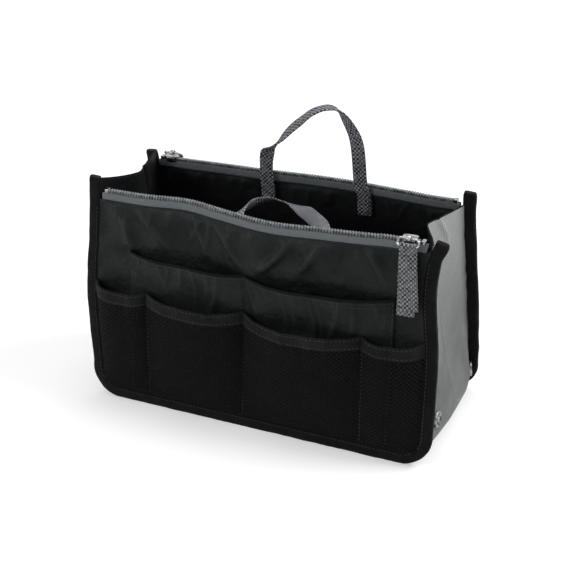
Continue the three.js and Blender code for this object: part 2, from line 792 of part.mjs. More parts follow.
function addSide(group, side, handle, swell) {
  add(group, `${side}_binding`, bindingGeometry(), blackBinding);
  add(group, `${side}_panel`, panelGeometry(swell), blackNylon);
  add(group, `${side}_lining`, sheetGeometry(liningFace, liningThickness, panelTop), blackNylon);
  addZip(group, side);
  addPull(group, side);
  addPockets(group, side);
  addHandle(group, side, handle);
}

// The back side and the left end are the front side and the right end, turned half round
function turnedGroup(turn) {
  const group = new THREE.Group();
  group.rotation.z = turn;
  insert.add(group);
  return group;
}

addSide(turnedGroup(0), 'front', frontHandle, frontSwell);
addSide(turnedGroup(Math.PI), 'back', backHandle, backSwell);
addEnd(turnedGroup(0), 'right', 'front', 'back');
addEnd(turnedGroup(Math.PI), 'left', 'back', 'front');
addBase(insert);

export default insert;
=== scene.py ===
# %% [markdown]
# # A purse organizer insert, dressed in Blender
#
# The insert is a soft box that stands inside a handbag. Two zipped sides of black nylon are held in shape by
# stiff bound edges. Grey twill ends fold inward between them, and each side carries nylon pockets, net
# pockets and a webbing handle. The CAD frame already has each piece's real size and place, and it says what
# moves. This script gives every piece its cloth, thread and metal, around that frame.

# %% Load the frame
import bmesh
import bpy
import math
import random
import numpy as np
from mathutils import Matrix, Vector


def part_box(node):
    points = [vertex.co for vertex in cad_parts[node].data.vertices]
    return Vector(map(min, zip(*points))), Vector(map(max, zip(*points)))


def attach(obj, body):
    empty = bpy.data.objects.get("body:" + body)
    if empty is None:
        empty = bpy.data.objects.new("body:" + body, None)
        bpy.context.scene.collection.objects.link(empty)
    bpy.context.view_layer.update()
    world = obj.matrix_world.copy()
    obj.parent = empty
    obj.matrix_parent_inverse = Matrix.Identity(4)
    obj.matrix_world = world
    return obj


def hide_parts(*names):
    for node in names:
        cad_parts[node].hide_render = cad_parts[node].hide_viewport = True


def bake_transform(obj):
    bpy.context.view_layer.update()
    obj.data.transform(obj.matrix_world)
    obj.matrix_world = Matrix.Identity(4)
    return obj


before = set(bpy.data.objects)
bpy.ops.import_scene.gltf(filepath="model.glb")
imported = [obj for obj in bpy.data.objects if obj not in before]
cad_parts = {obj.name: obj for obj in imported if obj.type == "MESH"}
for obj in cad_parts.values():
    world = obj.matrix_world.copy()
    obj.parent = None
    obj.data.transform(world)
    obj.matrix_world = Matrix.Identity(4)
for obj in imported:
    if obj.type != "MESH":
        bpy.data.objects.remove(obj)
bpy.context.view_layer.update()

# %% [markdown]
# ## The camera first
#
# The camera stands where the photographer stood. Its place and its three angles were found by fitting the
# corners of the bindings, so the render and the photograph can be laid over each other.

# %% Camera
CAMERA_PLACE = Vector((0.3573, -0.7532, 0.5159))
CAMERA_TURN = math.radians(24.91)
CAMERA_DIP = math.radians(27.24)
CAMERA_ROLL = math.radians(-1.31)
CAMERA_LENS = 75.75
CAMERA_SENSOR = 36

forward = Vector((
    -math.sin(CAMERA_TURN) * math.cos(CAMERA_DIP),
    math.cos(CAMERA_TURN) * math.cos(CAMERA_DIP),
    -math.sin(CAMERA_DIP),
))
level_right = forward.cross(Vector((0, 0, 1))).normalized()
level_up = level_right.cross(forward)
camera_right = math.cos(CAMERA_ROLL) * level_right + math.sin(CAMERA_ROLL) * level_up
camera_up = -math.sin(CAMERA_ROLL) * level_right + math.cos(CAMERA_ROLL) * level_up
camera = bpy.data.objects.new("camera", bpy.data.cameras.new("camera"))
bpy.context.scene.collection.objects.link(camera)
camera_axes = Matrix((camera_right, camera_up, -forward)).transposed().to_4x4()
camera.matrix_world = Matrix.Translation(CAMERA_PLACE) @ camera_axes
camera.data.lens = CAMERA_LENS
camera.data.sensor_width = CAMERA_SENSOR
bpy.context.scene.camera = camera
bpy.context.scene.view_settings.view_transform = "Standard"
print("camera at", tuple(round(v, 3) for v in CAMERA_PLACE))

# %% [markdown]
# ## Measures
#
# A piece of cloth fits because it is measured from the frame that carries it. The bound edge gives the
# length, the depth and the lean of a side. The sheets, zips and pockets give their own heights. The back is
# the front turned half round, so each measure is taken once, and a sign per side turns it.

# %% Measures from the frame
MM = 0.001
SIDES = ("front", "back")
ENDS = ("right", "left")
HALF_TURN = {"front": 1, "back": -1}
OUTWARD_Y = {"front": -1, "back": 1}
OUTWARD_X = {"right": 1, "left": -1}
BINDING_THICKNESS = 5 * MM
BINDING_WIDTH = 10 * MM
BINDING_RADIUS = 24 * MM


def in_metres(value):
    """A number of mm, or nested rows of such numbers, in metres."""
    return tuple(in_metres(v) for v in value) if isinstance(value, tuple) else value * MM


binding_low, binding_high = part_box("front_binding")
HALF_LENGTH = binding_high.x
HALF_DEPTH = -binding_low.y
EAR_HEIGHT = binding_high.z
LEAN = (binding_high.y - binding_low.y - BINDING_THICKNESS) / EAR_HEIGHT


def depth_of(node):
    """How far a front node's outer face lies behind the binding's outer face."""
    low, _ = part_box(node)
    return low.y + HALF_DEPTH - LEAN * low.z


panel_low, panel_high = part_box("front_panel")
HALF_INSIDE = panel_high.x
SHEET_FOOT = panel_low.z
PANEL_TOP = panel_high.z
PANEL_FACE = depth_of("front_panel")
LINING_FACE = depth_of("front_lining")
tape_low, tape_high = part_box("front_zip_tape_outer")
TAPE_FOOT = tape_low.z
TAPE_TOP = tape_high.z
HALF_TAPE = tape_high.x
chain_low, chain_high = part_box("front_zip_chain")
CHAIN_FOOT = chain_low.z
CHAIN_TOP = chain_high.z
HALF_CHAIN = chain_high.x
CHAIN_FACE = depth_of("front_zip_chain")
CHAIN_WIDTH = 4 * MM
_, gusset_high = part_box("right_gusset_front")
GUSSET_TOP = gusset_high.z
GUSSET_FACE = gusset_high.x
print("side leans", round(LEAN, 4), "and its sheets reach", round(PANEL_TOP / MM, 1), "mm")

# %% [markdown]
# ## The way that limp cloth stands
#
# Between its stiff edges each side is limp. The front mouth waves in and out and sags a little, and the back
# mouth bows outward. The bound edges are drawn in or pushed out a little too. Every layer of a side follows
# the same wave, so the layers never cut through each other. The wave dies out before the ends, where the
# metal slider needs a straight zip.

# %% Wave, bow and sag of the sides
WAVE_FOOT = 50 * MM
WAVE_END = 107 * MM
WAVE_EASE = 22 * MM
# Each swell in mm: place along the side, half width, how far out, how far down
SWELLS = {
    "front": in_metres(((14, 40, 5.2, 2.4), (-60, 22, -2.8, -0.8), (68, 26, 1.8, 0.6))),
    "back": in_metres(((-24, 58, 7.0, 0.6), (66, 30, 3.0, 0.8))),
}


def smooth(share):
    """Smooth step from 0 to 1."""
    held = np.clip(share, 0, 1)
    return held * held * (3 - 2 * held)


def swell(x, centre, width):
    """Soft hump that is 1 at its centre."""
    return np.exp(-(((x - centre) / width) ** 2))


def wave(side, x, z):
    """How far the cloth of a side stands out, and how far it hangs down, at places on the side."""
    rise = smooth((z - WAVE_FOOT) / (PANEL_TOP - WAVE_FOOT)) * smooth((WAVE_END - np.abs(x)) / WAVE_EASE)
    out = sum(amount * swell(x, centre, width) for centre, width, amount, _ in SWELLS[side])
    down = sum(amount * swell(x, centre, width) for centre, width, _, amount in SWELLS[side])
    return out * rise, down * rise


# Bound edges that are drawn in, or bow out where the last value is negative: height, spread and how far, in
# mm. Each is named by its side and by its end of that side's own x.
EDGE_BOWS = {
    ("front", 1): in_metres((132, 34, 5.0)),
    ("front", -1): in_metres((84, 44, -4.4)),
    ("back", -1): in_metres((165, 70, 3.6)),
    ("back", 1): in_metres((168, 48, 5.5)),
}
EDGE_BOW_START = 100 * MM
EDGE_BOW_EASE = 35 * MM


def edge_bow(side, end, z):
    """How far the slack bound edge of a side is drawn in at a height."""
    height, spread, amount = EDGE_BOWS[side, end]
    return amount * swell(z, height, spread)


def on_side(side, x, z, depth):
    """Points in the frame from places on a side: x along it, z up, depth inward from its binding's face."""
    x, z, depth = np.broadcast_arrays(np.asarray(x, float), np.asarray(z, float), np.asarray(depth, float))
    out, down = wave(side, x, z)
    drawn = 0
    for end in (-1, 1):
        near_end = smooth((end * x - EDGE_BOW_START) / EDGE_BOW_EASE)
        drawn = drawn + end * edge_bow(side, end, z) * near_end
    turn = HALF_TURN[side]
    y = depth - out - HALF_DEPTH + LEAN * z
    return np.stack([turn * (x - drawn), turn * y, z - down], axis=-1)


main_swell = SWELLS["front"][0]
middle_out, _ = wave("front", np.array([main_swell[0]]), np.array([PANEL_TOP]))
print("front mouth stands out", round(float(middle_out[0]) / MM, 1), "mm at its middle")

# %% [markdown]
# ## Three ways to make a piece
#
# Nearly everything here is one of three forms. A sheet is a grid of points with a thickness. A strip is a
# section that is drawn along a line, such as a binding, a strap or a wire. A turned piece is a profile spun
# about an axis. Each of them carries a UV map in metres, so that a weave has the same scale on every piece.

# %% Mesh helper
WEAVE_MAP = "weave"
TINY = 1e-12


def make_mesh(name, points, faces, corner_uvs, materials, face_slots=None, flat_faces=()):
    """Object from points, faces and one UV place for each face corner."""
    mesh = bpy.data.meshes.new(name)
    mesh.from_pydata([tuple(p) for p in points], [], faces)
    layer = mesh.uv_layers.new(name=WEAVE_MAP)
    layer.data.foreach_set("uv", np.asarray(corner_uvs, np.float32).ravel())
    for material in materials:
        mesh.materials.append(material)
    if face_slots is not None:
        mesh.polygons.foreach_set("material_index", np.asarray(face_slots, np.int32))
    smooth_faces = np.ones(len(mesh.polygons), bool)
    smooth_faces[list(flat_faces)] = False
    mesh.polygons.foreach_set("use_smooth", smooth_faces)
    mesh.update()
    piece = bpy.data.objects.new(name, mesh)
    bpy.context.scene.collection.objects.link(piece)
    return piece


def lengths_along(points):
    """Distance from the first point to each point of a line."""
    steps = np.linalg.norm(np.diff(points, axis=0), axis=1)
    return np.concatenate([[0], np.cumsum(steps)])


def unit(vectors):
    """The same directions with a length of 1."""
    return vectors / np.linalg.norm(vectors, axis=-1, keepdims=True)


def repeated(direction, count):
    """One direction, once for each point of a line."""
    return np.repeat([direction], count, axis=0)


print("UV map", WEAVE_MAP, "is in metres")

# %% [markdown]
# ## A sheet of cloth
#
# Cloth has two faces and an edge. The grid gives the middle of the cloth, and both faces are offset along the
# local normal, so a fold stays as thick as the flat cloth. The face that the grid's normal points from can be
# another material than the back, which the twill ends need: grey outside and black inside.

# %% Sheet helper
def sheet(name, middle, thickness, materials, outward):
    """Closed sheet round a grid of middle points, or one layer where the thickness is 0.

    Its first material is on the face that points outward, and its last one on the other face.
    """
    along = np.gradient(middle, axis=1)
    down = np.gradient(middle, axis=0)
    normals = np.cross(along, down)
    normals /= np.maximum(np.linalg.norm(normals, axis=2, keepdims=True), TINY)
    if (normals.reshape(-1, 3) @ np.asarray(outward, float)).mean() < 0:
        return sheet(name, middle[:, ::-1], thickness, materials, outward)
    rows, columns = middle.shape[:2]
    face = (middle + normals * thickness / 2).reshape(-1, 3)
    back = (middle - normals * thickness / 2).reshape(-1, 3)
    count = rows * columns
    across = lengths_along(middle[rows // 2])
    upward = lengths_along(middle[:, columns // 2])
    uv = np.stack(np.meshgrid(across, upward), axis=-1).reshape(-1, 2)
    place = np.arange(count).reshape(rows, columns)
    corners = [place[:-1, :-1], place[:-1, 1:], place[1:, 1:], place[1:, :-1]]
    front_faces = np.stack(corners, axis=-1).reshape(-1, 4)
    if not thickness:
        return make_mesh(name, face, front_faces.tolist(), uv[front_faces].reshape(-1, 2), materials)
    back_faces = front_faces[:, ::-1] + count
    edge = np.concatenate([place[0, :-1], place[:-1, -1], place[-1, :0:-1], place[:0:-1, 0]])
    after = np.roll(edge, -1)
    rim = np.stack([edge, edge + count, after + count, after], axis=-1)
    faces = np.concatenate([front_faces, back_faces, rim])
    slots = np.zeros(len(faces), int)
    slots[len(front_faces):2 * len(front_faces)] = len(materials) - 1
    rim_faces = range(2 * len(front_faces), len(faces))
    points = np.concatenate([face, back])
    corner_uvs = np.concatenate([uv, uv])[faces].reshape(-1, 2)
    return make_mesh(name, points, faces.tolist(), corner_uvs, materials, slots, rim_faces)


def shares(count, low=0.0, high=1.0):
    """Evenly spread numbers from low to high."""
    return np.linspace(low, high, count)


print("sheet helper ready")

# %% [markdown]
# ## A strip drawn along a line
#
# A binding, a strap and a wire are all one section that runs along a line. The line brings two directions
# with it at every point: sideways and outward. The section may change on the way, so a tape can pucker.

# %% Strip helper
def strip(name, line, sideways, outward, section, materials, closed=False):
    """Strip with a section of (sideways, outward) offsets, one for the whole line or one for each point."""
    line = np.asarray(line, float)
    section = np.asarray(section, float)
    if section.ndim == 2:
        section = np.broadcast_to(section, (len(line), *section.shape))
    around = section.shape[1]
    points = (
        line[:, None]
        + section[:, :, :1] * np.asarray(sideways, float)[:, None]
        + section[:, :, 1:] * np.asarray(outward, float)[:, None]
    )
    spans = len(line) if closed else len(line) - 1
    run = lengths_along(np.concatenate([line, line[:1]]) if closed else line)
    girth = lengths_along(np.concatenate([section[0], section[0, :1]]))
    faces = []
    corner_uvs = []
    for i in range(spans):
        here = i * around
        there = ((i + 1) % len(line)) * around
        for j in range(around):
            k = (j + 1) % around
            faces.append((here + j, here + k, there + k, there + j))
            corner_uvs += [
                (girth[j], run[i]), (girth[j + 1], run[i]),
                (girth[j + 1], run[i + 1]), (girth[j], run[i + 1]),
            ]
    caps = []
    if not closed:
        last = (len(line) - 1) * around
        caps = [len(faces), len(faces) + 1]
        faces += [tuple(range(around))[::-1], tuple(range(last, last + around))]
        flat = [tuple(p) for p in section[0]]
        corner_uvs += flat[::-1] + flat
    points = points.reshape(-1, 3)
    if signed_volume(points, faces) < 0:
        faces, corner_uvs = turned_over(faces, corner_uvs)
    return make_mesh(name, points, faces, corner_uvs, materials, None, caps)


def signed_volume(points, faces):
    """Volume that the faces enclose, below zero where they point inward."""
    total = 0.0
    for face in faces:
        first = points[face[0]]
        for a, b in zip(face[1:-1], face[2:]):
            total += float(np.dot(first, np.cross(points[a], points[b])))
    return total / 6


def turned_over(faces, corner_uvs):
    """The same faces with their corners in the other order."""
    turned_faces = []
    turned_uvs = []
    start = 0
    for face in faces:
        turned_faces.append(tuple(face)[::-1])
        turned_uvs += corner_uvs[start:start + len(face)][::-1]
        start += len(face)
    return turned_faces, turned_uvs


def flat_section(width, thickness, edge_points=3):
    """Flat strap section with rounded edges."""
    radius = thickness / 2
    ring = []
    for turn, centre in ((-90, width / 2 - radius), (90, radius - width / 2)):
        for i in range(edge_points + 1):
            angle = math.radians(turn + 180 * i / edge_points)
            ring.append((centre + radius * math.cos(angle), radius * math.sin(angle)))
    return np.array(ring)


def round_section(radius, count=12):
    """Round wire section."""
    turns = [2 * math.pi * i / count for i in range(count)]
    return np.array([(radius * math.cos(t), radius * math.sin(t)) for t in turns])


print("strip helper ready")

# %% [markdown]
# ## Wrinkles that come out the same each time
#
# Thin nylon never lies flat. Soft noise gives its slow swells, and single creases give the folds that run
# from a seam. Both are plain functions of the place on the cloth, so every run gives the same cloth.

# %% Noise
HASH_STEPS = (127.1, 311.7, 74.7)
HASH_SPREAD = 43758.5453
NOISE_OCTAVES = 3
OCTAVE_SEED_STEP = 13


def lattice_value(column, row, seed):
    """Number from 0 to 1 that belongs to one lattice place."""
    mixed = np.sin(column * HASH_STEPS[0] + row * HASH_STEPS[1] + seed * HASH_STEPS[2]) * HASH_SPREAD
    return mixed - np.floor(mixed)


def lattice_row(left, row, share, seed):
    """Number between two neighbouring lattice places of one row."""
    return lattice_value(left, row, seed) * (1 - share) + lattice_value(left + 1, row, seed) * share


def soft_noise(x, z, size, seed):
    """Smooth noise from -1 to 1, with features about as wide as size."""
    column, row = x / size, z / size
    left, foot = np.floor(column), np.floor(row)
    right_share, top_share = smooth(column - left), smooth(row - foot)
    low = lattice_row(left, foot, right_share, seed)
    high = lattice_row(left, foot + 1, right_share, seed)
    return 2 * (low * (1 - top_share) + high * top_share) - 1


def rough_noise(x, z, size, seed):
    """Sum of smooth noises, each half as wide and half as high as the last."""
    total = 0
    weight = 0
    for i in range(NOISE_OCTAVES):
        total = total + soft_noise(x, z, size / 2**i, seed + OCTAVE_SEED_STEP * i) / 2**i
        weight += 1 / 2**i
    return total / weight


print("noise at one place:", round(float(soft_noise(np.array(0.3), np.array(0.7), 0.1, 1)), 4))

# %% Creases and wrinkles
# A crease is highest a little before its middle, bends slightly aside, and falls off to both sides
CREASE_PEAK = 0.45
CREASE_REACH = 1.15
CREASE_BEND = 0.05
CREASE_POWER = 1.25
# Wrinkles lean with the height of the place, and are longer than they are wide
WRINKLE_LEAN = 0.5
WRINKLE_STRETCH = 0.45
WRINKLE_POWER = 4
# Creases that hang from a seam: place within its own stretch of the seam, width, and share of the full height
HANGING_PLACES = (0.1, 0.9)
HANGING_WIDTHS = (1.6 * MM, 3.4 * MM)
HANGING_HEIGHTS = (0.35, 1.0)


def crease(x, z, start, end, width):
    """Ridge along a line, 1 along its middle and fading to its ends and sides."""
    run = np.array(end, float) - np.array(start, float)
    length = np.hypot(*run)
    along = ((x - start[0]) * run[0] + (z - start[1]) * run[1]) / length**2
    off = ((x - start[0]) * run[1] - (z - start[1]) * run[0]) / length
    held = np.clip(along, 0, 1)
    fade = smooth(CREASE_REACH - 2 * np.abs(along - CREASE_PEAK))
    bend = off + CREASE_BEND * length * np.sin(held * math.pi)
    return fade * np.exp(-((np.abs(bend) / width) ** CREASE_POWER))


def wrinkles(x, z, size, seed):
    """Sharp slanting wrinkles of thin cloth, from 0 between them to 1 along their backs."""
    noise = rough_noise(x + WRINKLE_LEAN * z, WRINKLE_STRETCH * z, size, seed)
    return (1 - np.abs(noise)) ** WRINKLE_POWER


def hanging_creases(seed, count, span, top, foot, lengths, lean_share):
    """Creases spread along a seam and hanging from it: start, end, width and share of the full height."""
    dice = random.Random(seed)
    found = []
    for i in range(count):
        place = span[0] + (span[1] - span[0]) * (i + dice.uniform(*HANGING_PLACES)) / count
        length = dice.uniform(*lengths)
        end = (place + length * dice.uniform(-lean_share, lean_share), max(foot, top - length))
        found.append(((place, top), end, dice.uniform(*HANGING_WIDTHS), dice.uniform(*HANGING_HEIGHTS)))
    return found


middle_height = crease(np.array(0.0), np.array(0.0), (0.0, -10 * MM), (0.0, 10 * MM), 2 * MM)
print("a crease is", round(float(middle_height), 2), "of its full height at its middle")

# %% [markdown]
# ## Shader groups
#
# Fabric looks like fabric because of its threads. One group draws the over and under of a weave from the UV
# map in metres, and gives its height, its over mask and a value for each thread. Crumple gives the slow shine
# changes of thin cloth, which the nylon also paints into its colour as sheen. Lint gives the pale specks that
# black cloth collects. Ridges paints light on proud cloth and shade in creases, and foot to mouth paints
# shade at the foot of a twill end and light towards its mouth. Each material places the groups with its own
# values, and keeps its own Principled shader.

# %% Node helpers
def new_group(name, inputs, outputs):
    """Shader node group with float inputs and the named outputs, and its two end nodes."""
    group = bpy.data.node_groups.new(name, "ShaderNodeTree")
    for label, value in inputs.items():
        socket = group.interface.new_socket(name=label, in_out="INPUT", socket_type="NodeSocketFloat")
        socket.default_value = value
    for label in outputs:
        group.interface.new_socket(name=label, in_out="OUTPUT", socket_type="NodeSocketFloat")
    return group, group.nodes.new("NodeGroupInput"), group.nodes.new("NodeGroupOutput")


def feed(tree, socket, value):
    """Give a socket a number or link it to another socket."""
    if isinstance(value, bpy.types.NodeSocket):
        tree.links.new(value, socket)
    else:
        socket.default_value = value


def math_node(tree, operation, *values):
    """Output of a Math node."""
    node = tree.nodes.new("ShaderNodeMath")
    node.operation = operation
    for socket, value in zip(node.inputs, values):
        feed(tree, socket, value)
    return node.outputs[0]


def weave_places(tree):
    """The two coordinates of the weave map, in metres."""
    uv = tree.nodes.new("ShaderNodeUVMap")
    uv.uv_map = WEAVE_MAP
    split = tree.nodes.new("ShaderNodeSeparateXYZ")
    tree.links.new(uv.outputs["UV"], split.inputs[0])
    return uv.outputs["UV"], split.outputs["X"], split.outputs["Y"]


def noise_node(tree, vector, scale, detail, roughness=0.5):
    """Factor output of a Noise texture."""
    node = tree.nodes.new("ShaderNodeTexNoise")
    feed(tree, node.inputs["Vector"], vector)
    feed(tree, node.inputs["Scale"], scale)
    feed(tree, node.inputs["Detail"], detail)
    feed(tree, node.inputs["Roughness"], roughness)
    return node.outputs[0]


def range_node(tree, value, low, high, to_low=0.0, to_high=1.0):
    """Value mapped softly from one range to another, held inside it."""
    node = tree.nodes.new("ShaderNodeMapRange")
    node.interpolation_type = "SMOOTHSTEP"
    for socket, given in zip(node.inputs, (value, low, high, to_low, to_high)):
        feed(tree, socket, given)
    return node.outputs[0]


print("node helpers ready")

# %% Weave group
def build_weave_group():
    """Threads over and under each other: warp up the map and weft across it."""
    group, given, out = new_group(
        "threads",
        {"Threads per metre": 2500.0, "Repeat": 4.0, "Over": 2.0},
        ("Height", "Over mask", "Thread value"),
    )
    _, across, upward = weave_places(group)
    column = math_node(group, "MULTIPLY", across, given.outputs["Threads per metre"])
    row = math_node(group, "MULTIPLY", upward, given.outputs["Threads per metre"])
    column_floor = math_node(group, "FLOOR", column)
    row_floor = math_node(group, "FLOOR", row)
    step = math_node(group, "ADD", column_floor, row_floor)
    phase = math_node(group, "FLOORED_MODULO", step, given.outputs["Repeat"])
    over = math_node(group, "LESS_THAN", phase, given.outputs["Over"])

    def arch(place):
        middle = math_node(group, "SUBTRACT", math_node(group, "FRACT", place), 0.5)
        square = math_node(group, "MULTIPLY", middle, middle)
        return math_node(group, "MULTIPLY_ADD", square, -4.0, 1.0)

    warp = math_node(group, "MULTIPLY", arch(column), over)
    weft = math_node(group, "MULTIPLY", arch(row), math_node(group, "SUBTRACT", 1.0, over))
    cell = group.nodes.new("ShaderNodeCombineXYZ")
    group.links.new(column_floor, cell.inputs[0])
    group.links.new(row_floor, cell.inputs[1])
    speckle = group.nodes.new("ShaderNodeTexWhiteNoise")
    group.links.new(cell.outputs[0], speckle.inputs["Vector"])
    group.links.new(math_node(group, "ADD", warp, weft), out.inputs["Height"])
    group.links.new(over, out.inputs["Over mask"])
    group.links.new(speckle.outputs["Value"], out.inputs["Thread value"])
    return group


THREADS = build_weave_group()
print("group", THREADS.name, "has", len(THREADS.nodes), "nodes")

# %% Crumple and lint groups
def build_crumple_group():
    """Slow and quick unevenness of thin cloth, about 0.5 on average."""
    group, given, out = new_group("crumple", {"Size": 0.02, "Sharpness": 0.5}, ("Height", "Mask"))
    place, _, _ = weave_places(group)
    scale = math_node(group, "DIVIDE", 1.0, given.outputs["Size"])
    slow = noise_node(group, place, scale, 2.0)
    quick_scale = math_node(group, "MULTIPLY", scale, 6.0)
    quick = noise_node(group, place, quick_scale, 4.0, given.outputs["Sharpness"])
    both = math_node(group, "MULTIPLY_ADD", quick, 0.3, math_node(group, "MULTIPLY", slow, 0.7))
    group.links.new(both, out.inputs["Height"])
    group.links.new(range_node(group, slow, 0.38, 0.62), out.inputs["Mask"])
    return group


def build_lint_group():
    """Pale specks and a faint film of dust."""
    group, given, out = new_group("lint", {"Specks": 0.5, "Film": 0.3}, ("Mask",))
    place, _, _ = weave_places(group)
    speck = noise_node(group, place, 900.0, 1.0)
    dots = math_node(group, "MULTIPLY", range_node(group, speck, 0.68, 0.76), given.outputs["Specks"])
    cloud = noise_node(group, place, 28.0, 3.0)
    film = math_node(group, "MULTIPLY", range_node(group, cloud, 0.4, 0.75), given.outputs["Film"])
    group.links.new(math_node(group, "MAXIMUM", dots, film), out.inputs["Mask"])
    return group


def build_painted_ridge_group():
    """Painted light where cloth stands proud, and painted shade where it lies in a crease."""
    group, given, out = new_group("ridges and creases", {"Low": 0.478, "High": 0.53}, ("Mask",))
    form = group.nodes.new("ShaderNodeNewGeometry")
    proud = range_node(group, form.outputs["Pointiness"], given.outputs["Low"], given.outputs["High"])
    group.links.new(proud, out.inputs["Mask"])
    return group


def build_painted_foot_shade_group():
    """Soft change from the foot of an end to its mouth, 0 to 1, that paints shade low and light high."""
    group, given, out = new_group("foot to mouth", {"Foot": 0.02, "Mouth": 0.17}, ("Mask",))
    form = group.nodes.new("ShaderNodeTexCoord")
    split = group.nodes.new("ShaderNodeSeparateXYZ")
    group.links.new(form.outputs["Object"], split.inputs[0])
    rise = range_node(group, split.outputs["Z"], given.outputs["Foot"], given.outputs["Mouth"])
    group.links.new(math_node(group, "POWER", rise, 1.8), out.inputs["Mask"])
    return group


CRUMPLE = build_crumple_group()
PAINTED_RIDGE_LIGHT = build_painted_ridge_group()
PAINTED_FOOT_SHADE = build_painted_foot_shade_group()
LINT = build_lint_group()
print("groups:", [group.name for group in (CRUMPLE, PAINTED_RIDGE_LIGHT, PAINTED_FOOT_SHADE, LINT)])

# %% Net group
STRAND_SOFTNESS = 0.06


def build_net_group():
    """Open diamond net: a mask of its strands and their rounded height."""
    group, given, out = new_group(
        "diamond net", {"Width": 0.0027, "Height": 0.0022, "Strand": 0.3}, ("Strand mask", "Height")
    )
    _, across, upward = weave_places(group)
    full_turn = 2 * math.pi
    column = math_node(group, "DIVIDE", across, given.outputs["Width"])
    row = math_node(group, "DIVIDE", upward, given.outputs["Height"])
    column_wave = math_node(group, "COSINE", math_node(group, "MULTIPLY", column, full_turn))
    row_wave = math_node(group, "COSINE", math_node(group, "MULTIPLY", row, full_turn))
    holes = math_node(group, "MULTIPLY", column_wave, row_wave)
    low = math_node(group, "SUBTRACT", given.outputs["Strand"], STRAND_SOFTNESS)
    high = math_node(group, "ADD", given.outputs["Strand"], STRAND_SOFTNESS)
    group.links.new(range_node(group, holes, low, high, 1.0, 0.0), out.inputs["Strand mask"])
    group.links.new(range_node(group, holes, -1.0, given.outputs["Strand"], 1.0, 0.0), out.inputs["Height"])
    return group


NET = build_net_group()
print("group", NET.name, "has", len(NET.nodes), "nodes")

# %% [markdown]
# ## Materials
#
# Each finish is named for what it is. A helper makes the Principled shader and sets its even values on the
# shader itself. Two more add what changes over the surface: a colour that shifts between two shades by a
# mask, and a bump from a height.

# %% Material helpers
def new_material(name, **values):
    """Material with a Principled shader and the given even values."""
    material = bpy.data.materials.new(name)
    material.use_nodes = True
    shader = material.node_tree.nodes["Principled BSDF"]
    for label, value in values.items():
        shader.inputs[label.replace("_", " ")].default_value = value
    material.diffuse_color = shader.inputs["Base Color"].default_value
    return material, material.node_tree, shader


def place_group(tree, group, **values):
    """A group's node with its values set."""
    node = tree.nodes.new("ShaderNodeGroup")
    node.node_tree = group
    for label, value in values.items():
        feed(tree, node.inputs[label.replace("_", " ")], value)
    return node


def blend_colours(tree, mask, low, high):
    """Colour between two colours by a mask."""
    node = tree.nodes.new("ShaderNodeMix")
    node.data_type = "RGBA"
    feed(tree, node.inputs[0], mask)
    for socket, colour in ((node.inputs[6], low), (node.inputs[7], high)):
        feed(tree, socket, colour if isinstance(colour, bpy.types.NodeSocket) else (*colour, 1))
    return node.outputs[2]


def add_bump(tree, shader, height, distance, strength=1.0, before=None):
    """Bump from a height, on top of another bump if one is given."""
    node = tree.nodes.new("ShaderNodeBump")
    node.inputs["Distance"].default_value = distance
    node.inputs["Strength"].default_value = strength
    tree.links.new(height, node.inputs["Height"])
    if before is not None:
        tree.links.new(before.outputs[0], node.inputs["Normal"])
    tree.links.new(node.outputs[0], shader.inputs["Normal"])
    return node


print("material helpers ready")

# %% Nylon
DUST = (0.045, 0.047, 0.046)


def build_nylon(name, dark, painted_light_colour, roughness_low, roughness_high):
    """Thin smooth nylon: close plain weave, painted sheen, ridge light and crease shade, and a little lint.
    """
    material, tree, shader = new_material(
        name, Base_Color=(*painted_light_colour, 1), Sheen_Weight=0.02, Sheen_Roughness=0.4, Specular_IOR_Level=0.12
    )
    threads = place_group(tree, THREADS, Threads_per_metre=3200.0, Repeat=2.0, Over=1.0)
    crumple = place_group(tree, CRUMPLE, Size=0.024, Sharpness=0.45)
    lint = place_group(tree, LINT, Specks=0.35, Film=0.12)
    ridges = place_group(tree, PAINTED_RIDGE_LIGHT)
    # Painted sheen from the crumple mask, and painted ridge light and crease shade from the ridge mask
    half_ridges = math_node(tree, "MULTIPLY", ridges.outputs["Mask"], 0.5)
    shade = math_node(tree, "MULTIPLY_ADD", crumple.outputs["Mask"], 0.5, half_ridges)
    cloth = blend_colours(tree, shade, dark, painted_light_colour)
    dusty = blend_colours(tree, lint.outputs["Mask"], cloth, DUST)
    tree.links.new(dusty, shader.inputs["Base Color"])
    rough = range_node(tree, crumple.outputs["Mask"], 0.0, 1.0, roughness_low, roughness_high)
    tree.links.new(rough, shader.inputs["Roughness"])
    first = add_bump(tree, shader, crumple.outputs["Height"], 0.003, 0.8)
    add_bump(tree, shader, threads.outputs["Height"], 0.00008, 0.5, first)
    return material


# Each nylon goes from its painted shade to its painted light and sheen
BLACK_NYLON = build_nylon("black_nylon", (0.0008, 0.001, 0.0011), (0.0145, 0.0168, 0.0175), 0.36, 0.25)
LINING_NYLON = build_nylon("black_lining_nylon", (0.004, 0.0045, 0.005), (0.0105, 0.0112, 0.0117), 0.56, 0.45)
HEM_NYLON = build_nylon("black_hem_nylon", (0.001, 0.001, 0.0012), (0.005, 0.005, 0.0055), 0.7, 0.6)
print("nylons:", BLACK_NYLON.name, LINING_NYLON.name, HEM_NYLON.name)

# %% Binding tape and net
# Painted shade in the grooves of the binding and painted highlights on its ribs, then its dust
BINDING_GROOVE_SHADE = (0.0012, 0.0012, 0.0014)
BINDING_RIB_HIGHLIGHT = (0.0045, 0.0046, 0.005)
BINDING_DUST = (0.018, 0.018, 0.019)
# Painted shade at the sides of each net strand and a painted highlight along its middle
NET_SHADE = (0.0006, 0.0006, 0.0008)
NET_LIT = (0.017, 0.017, 0.0185)


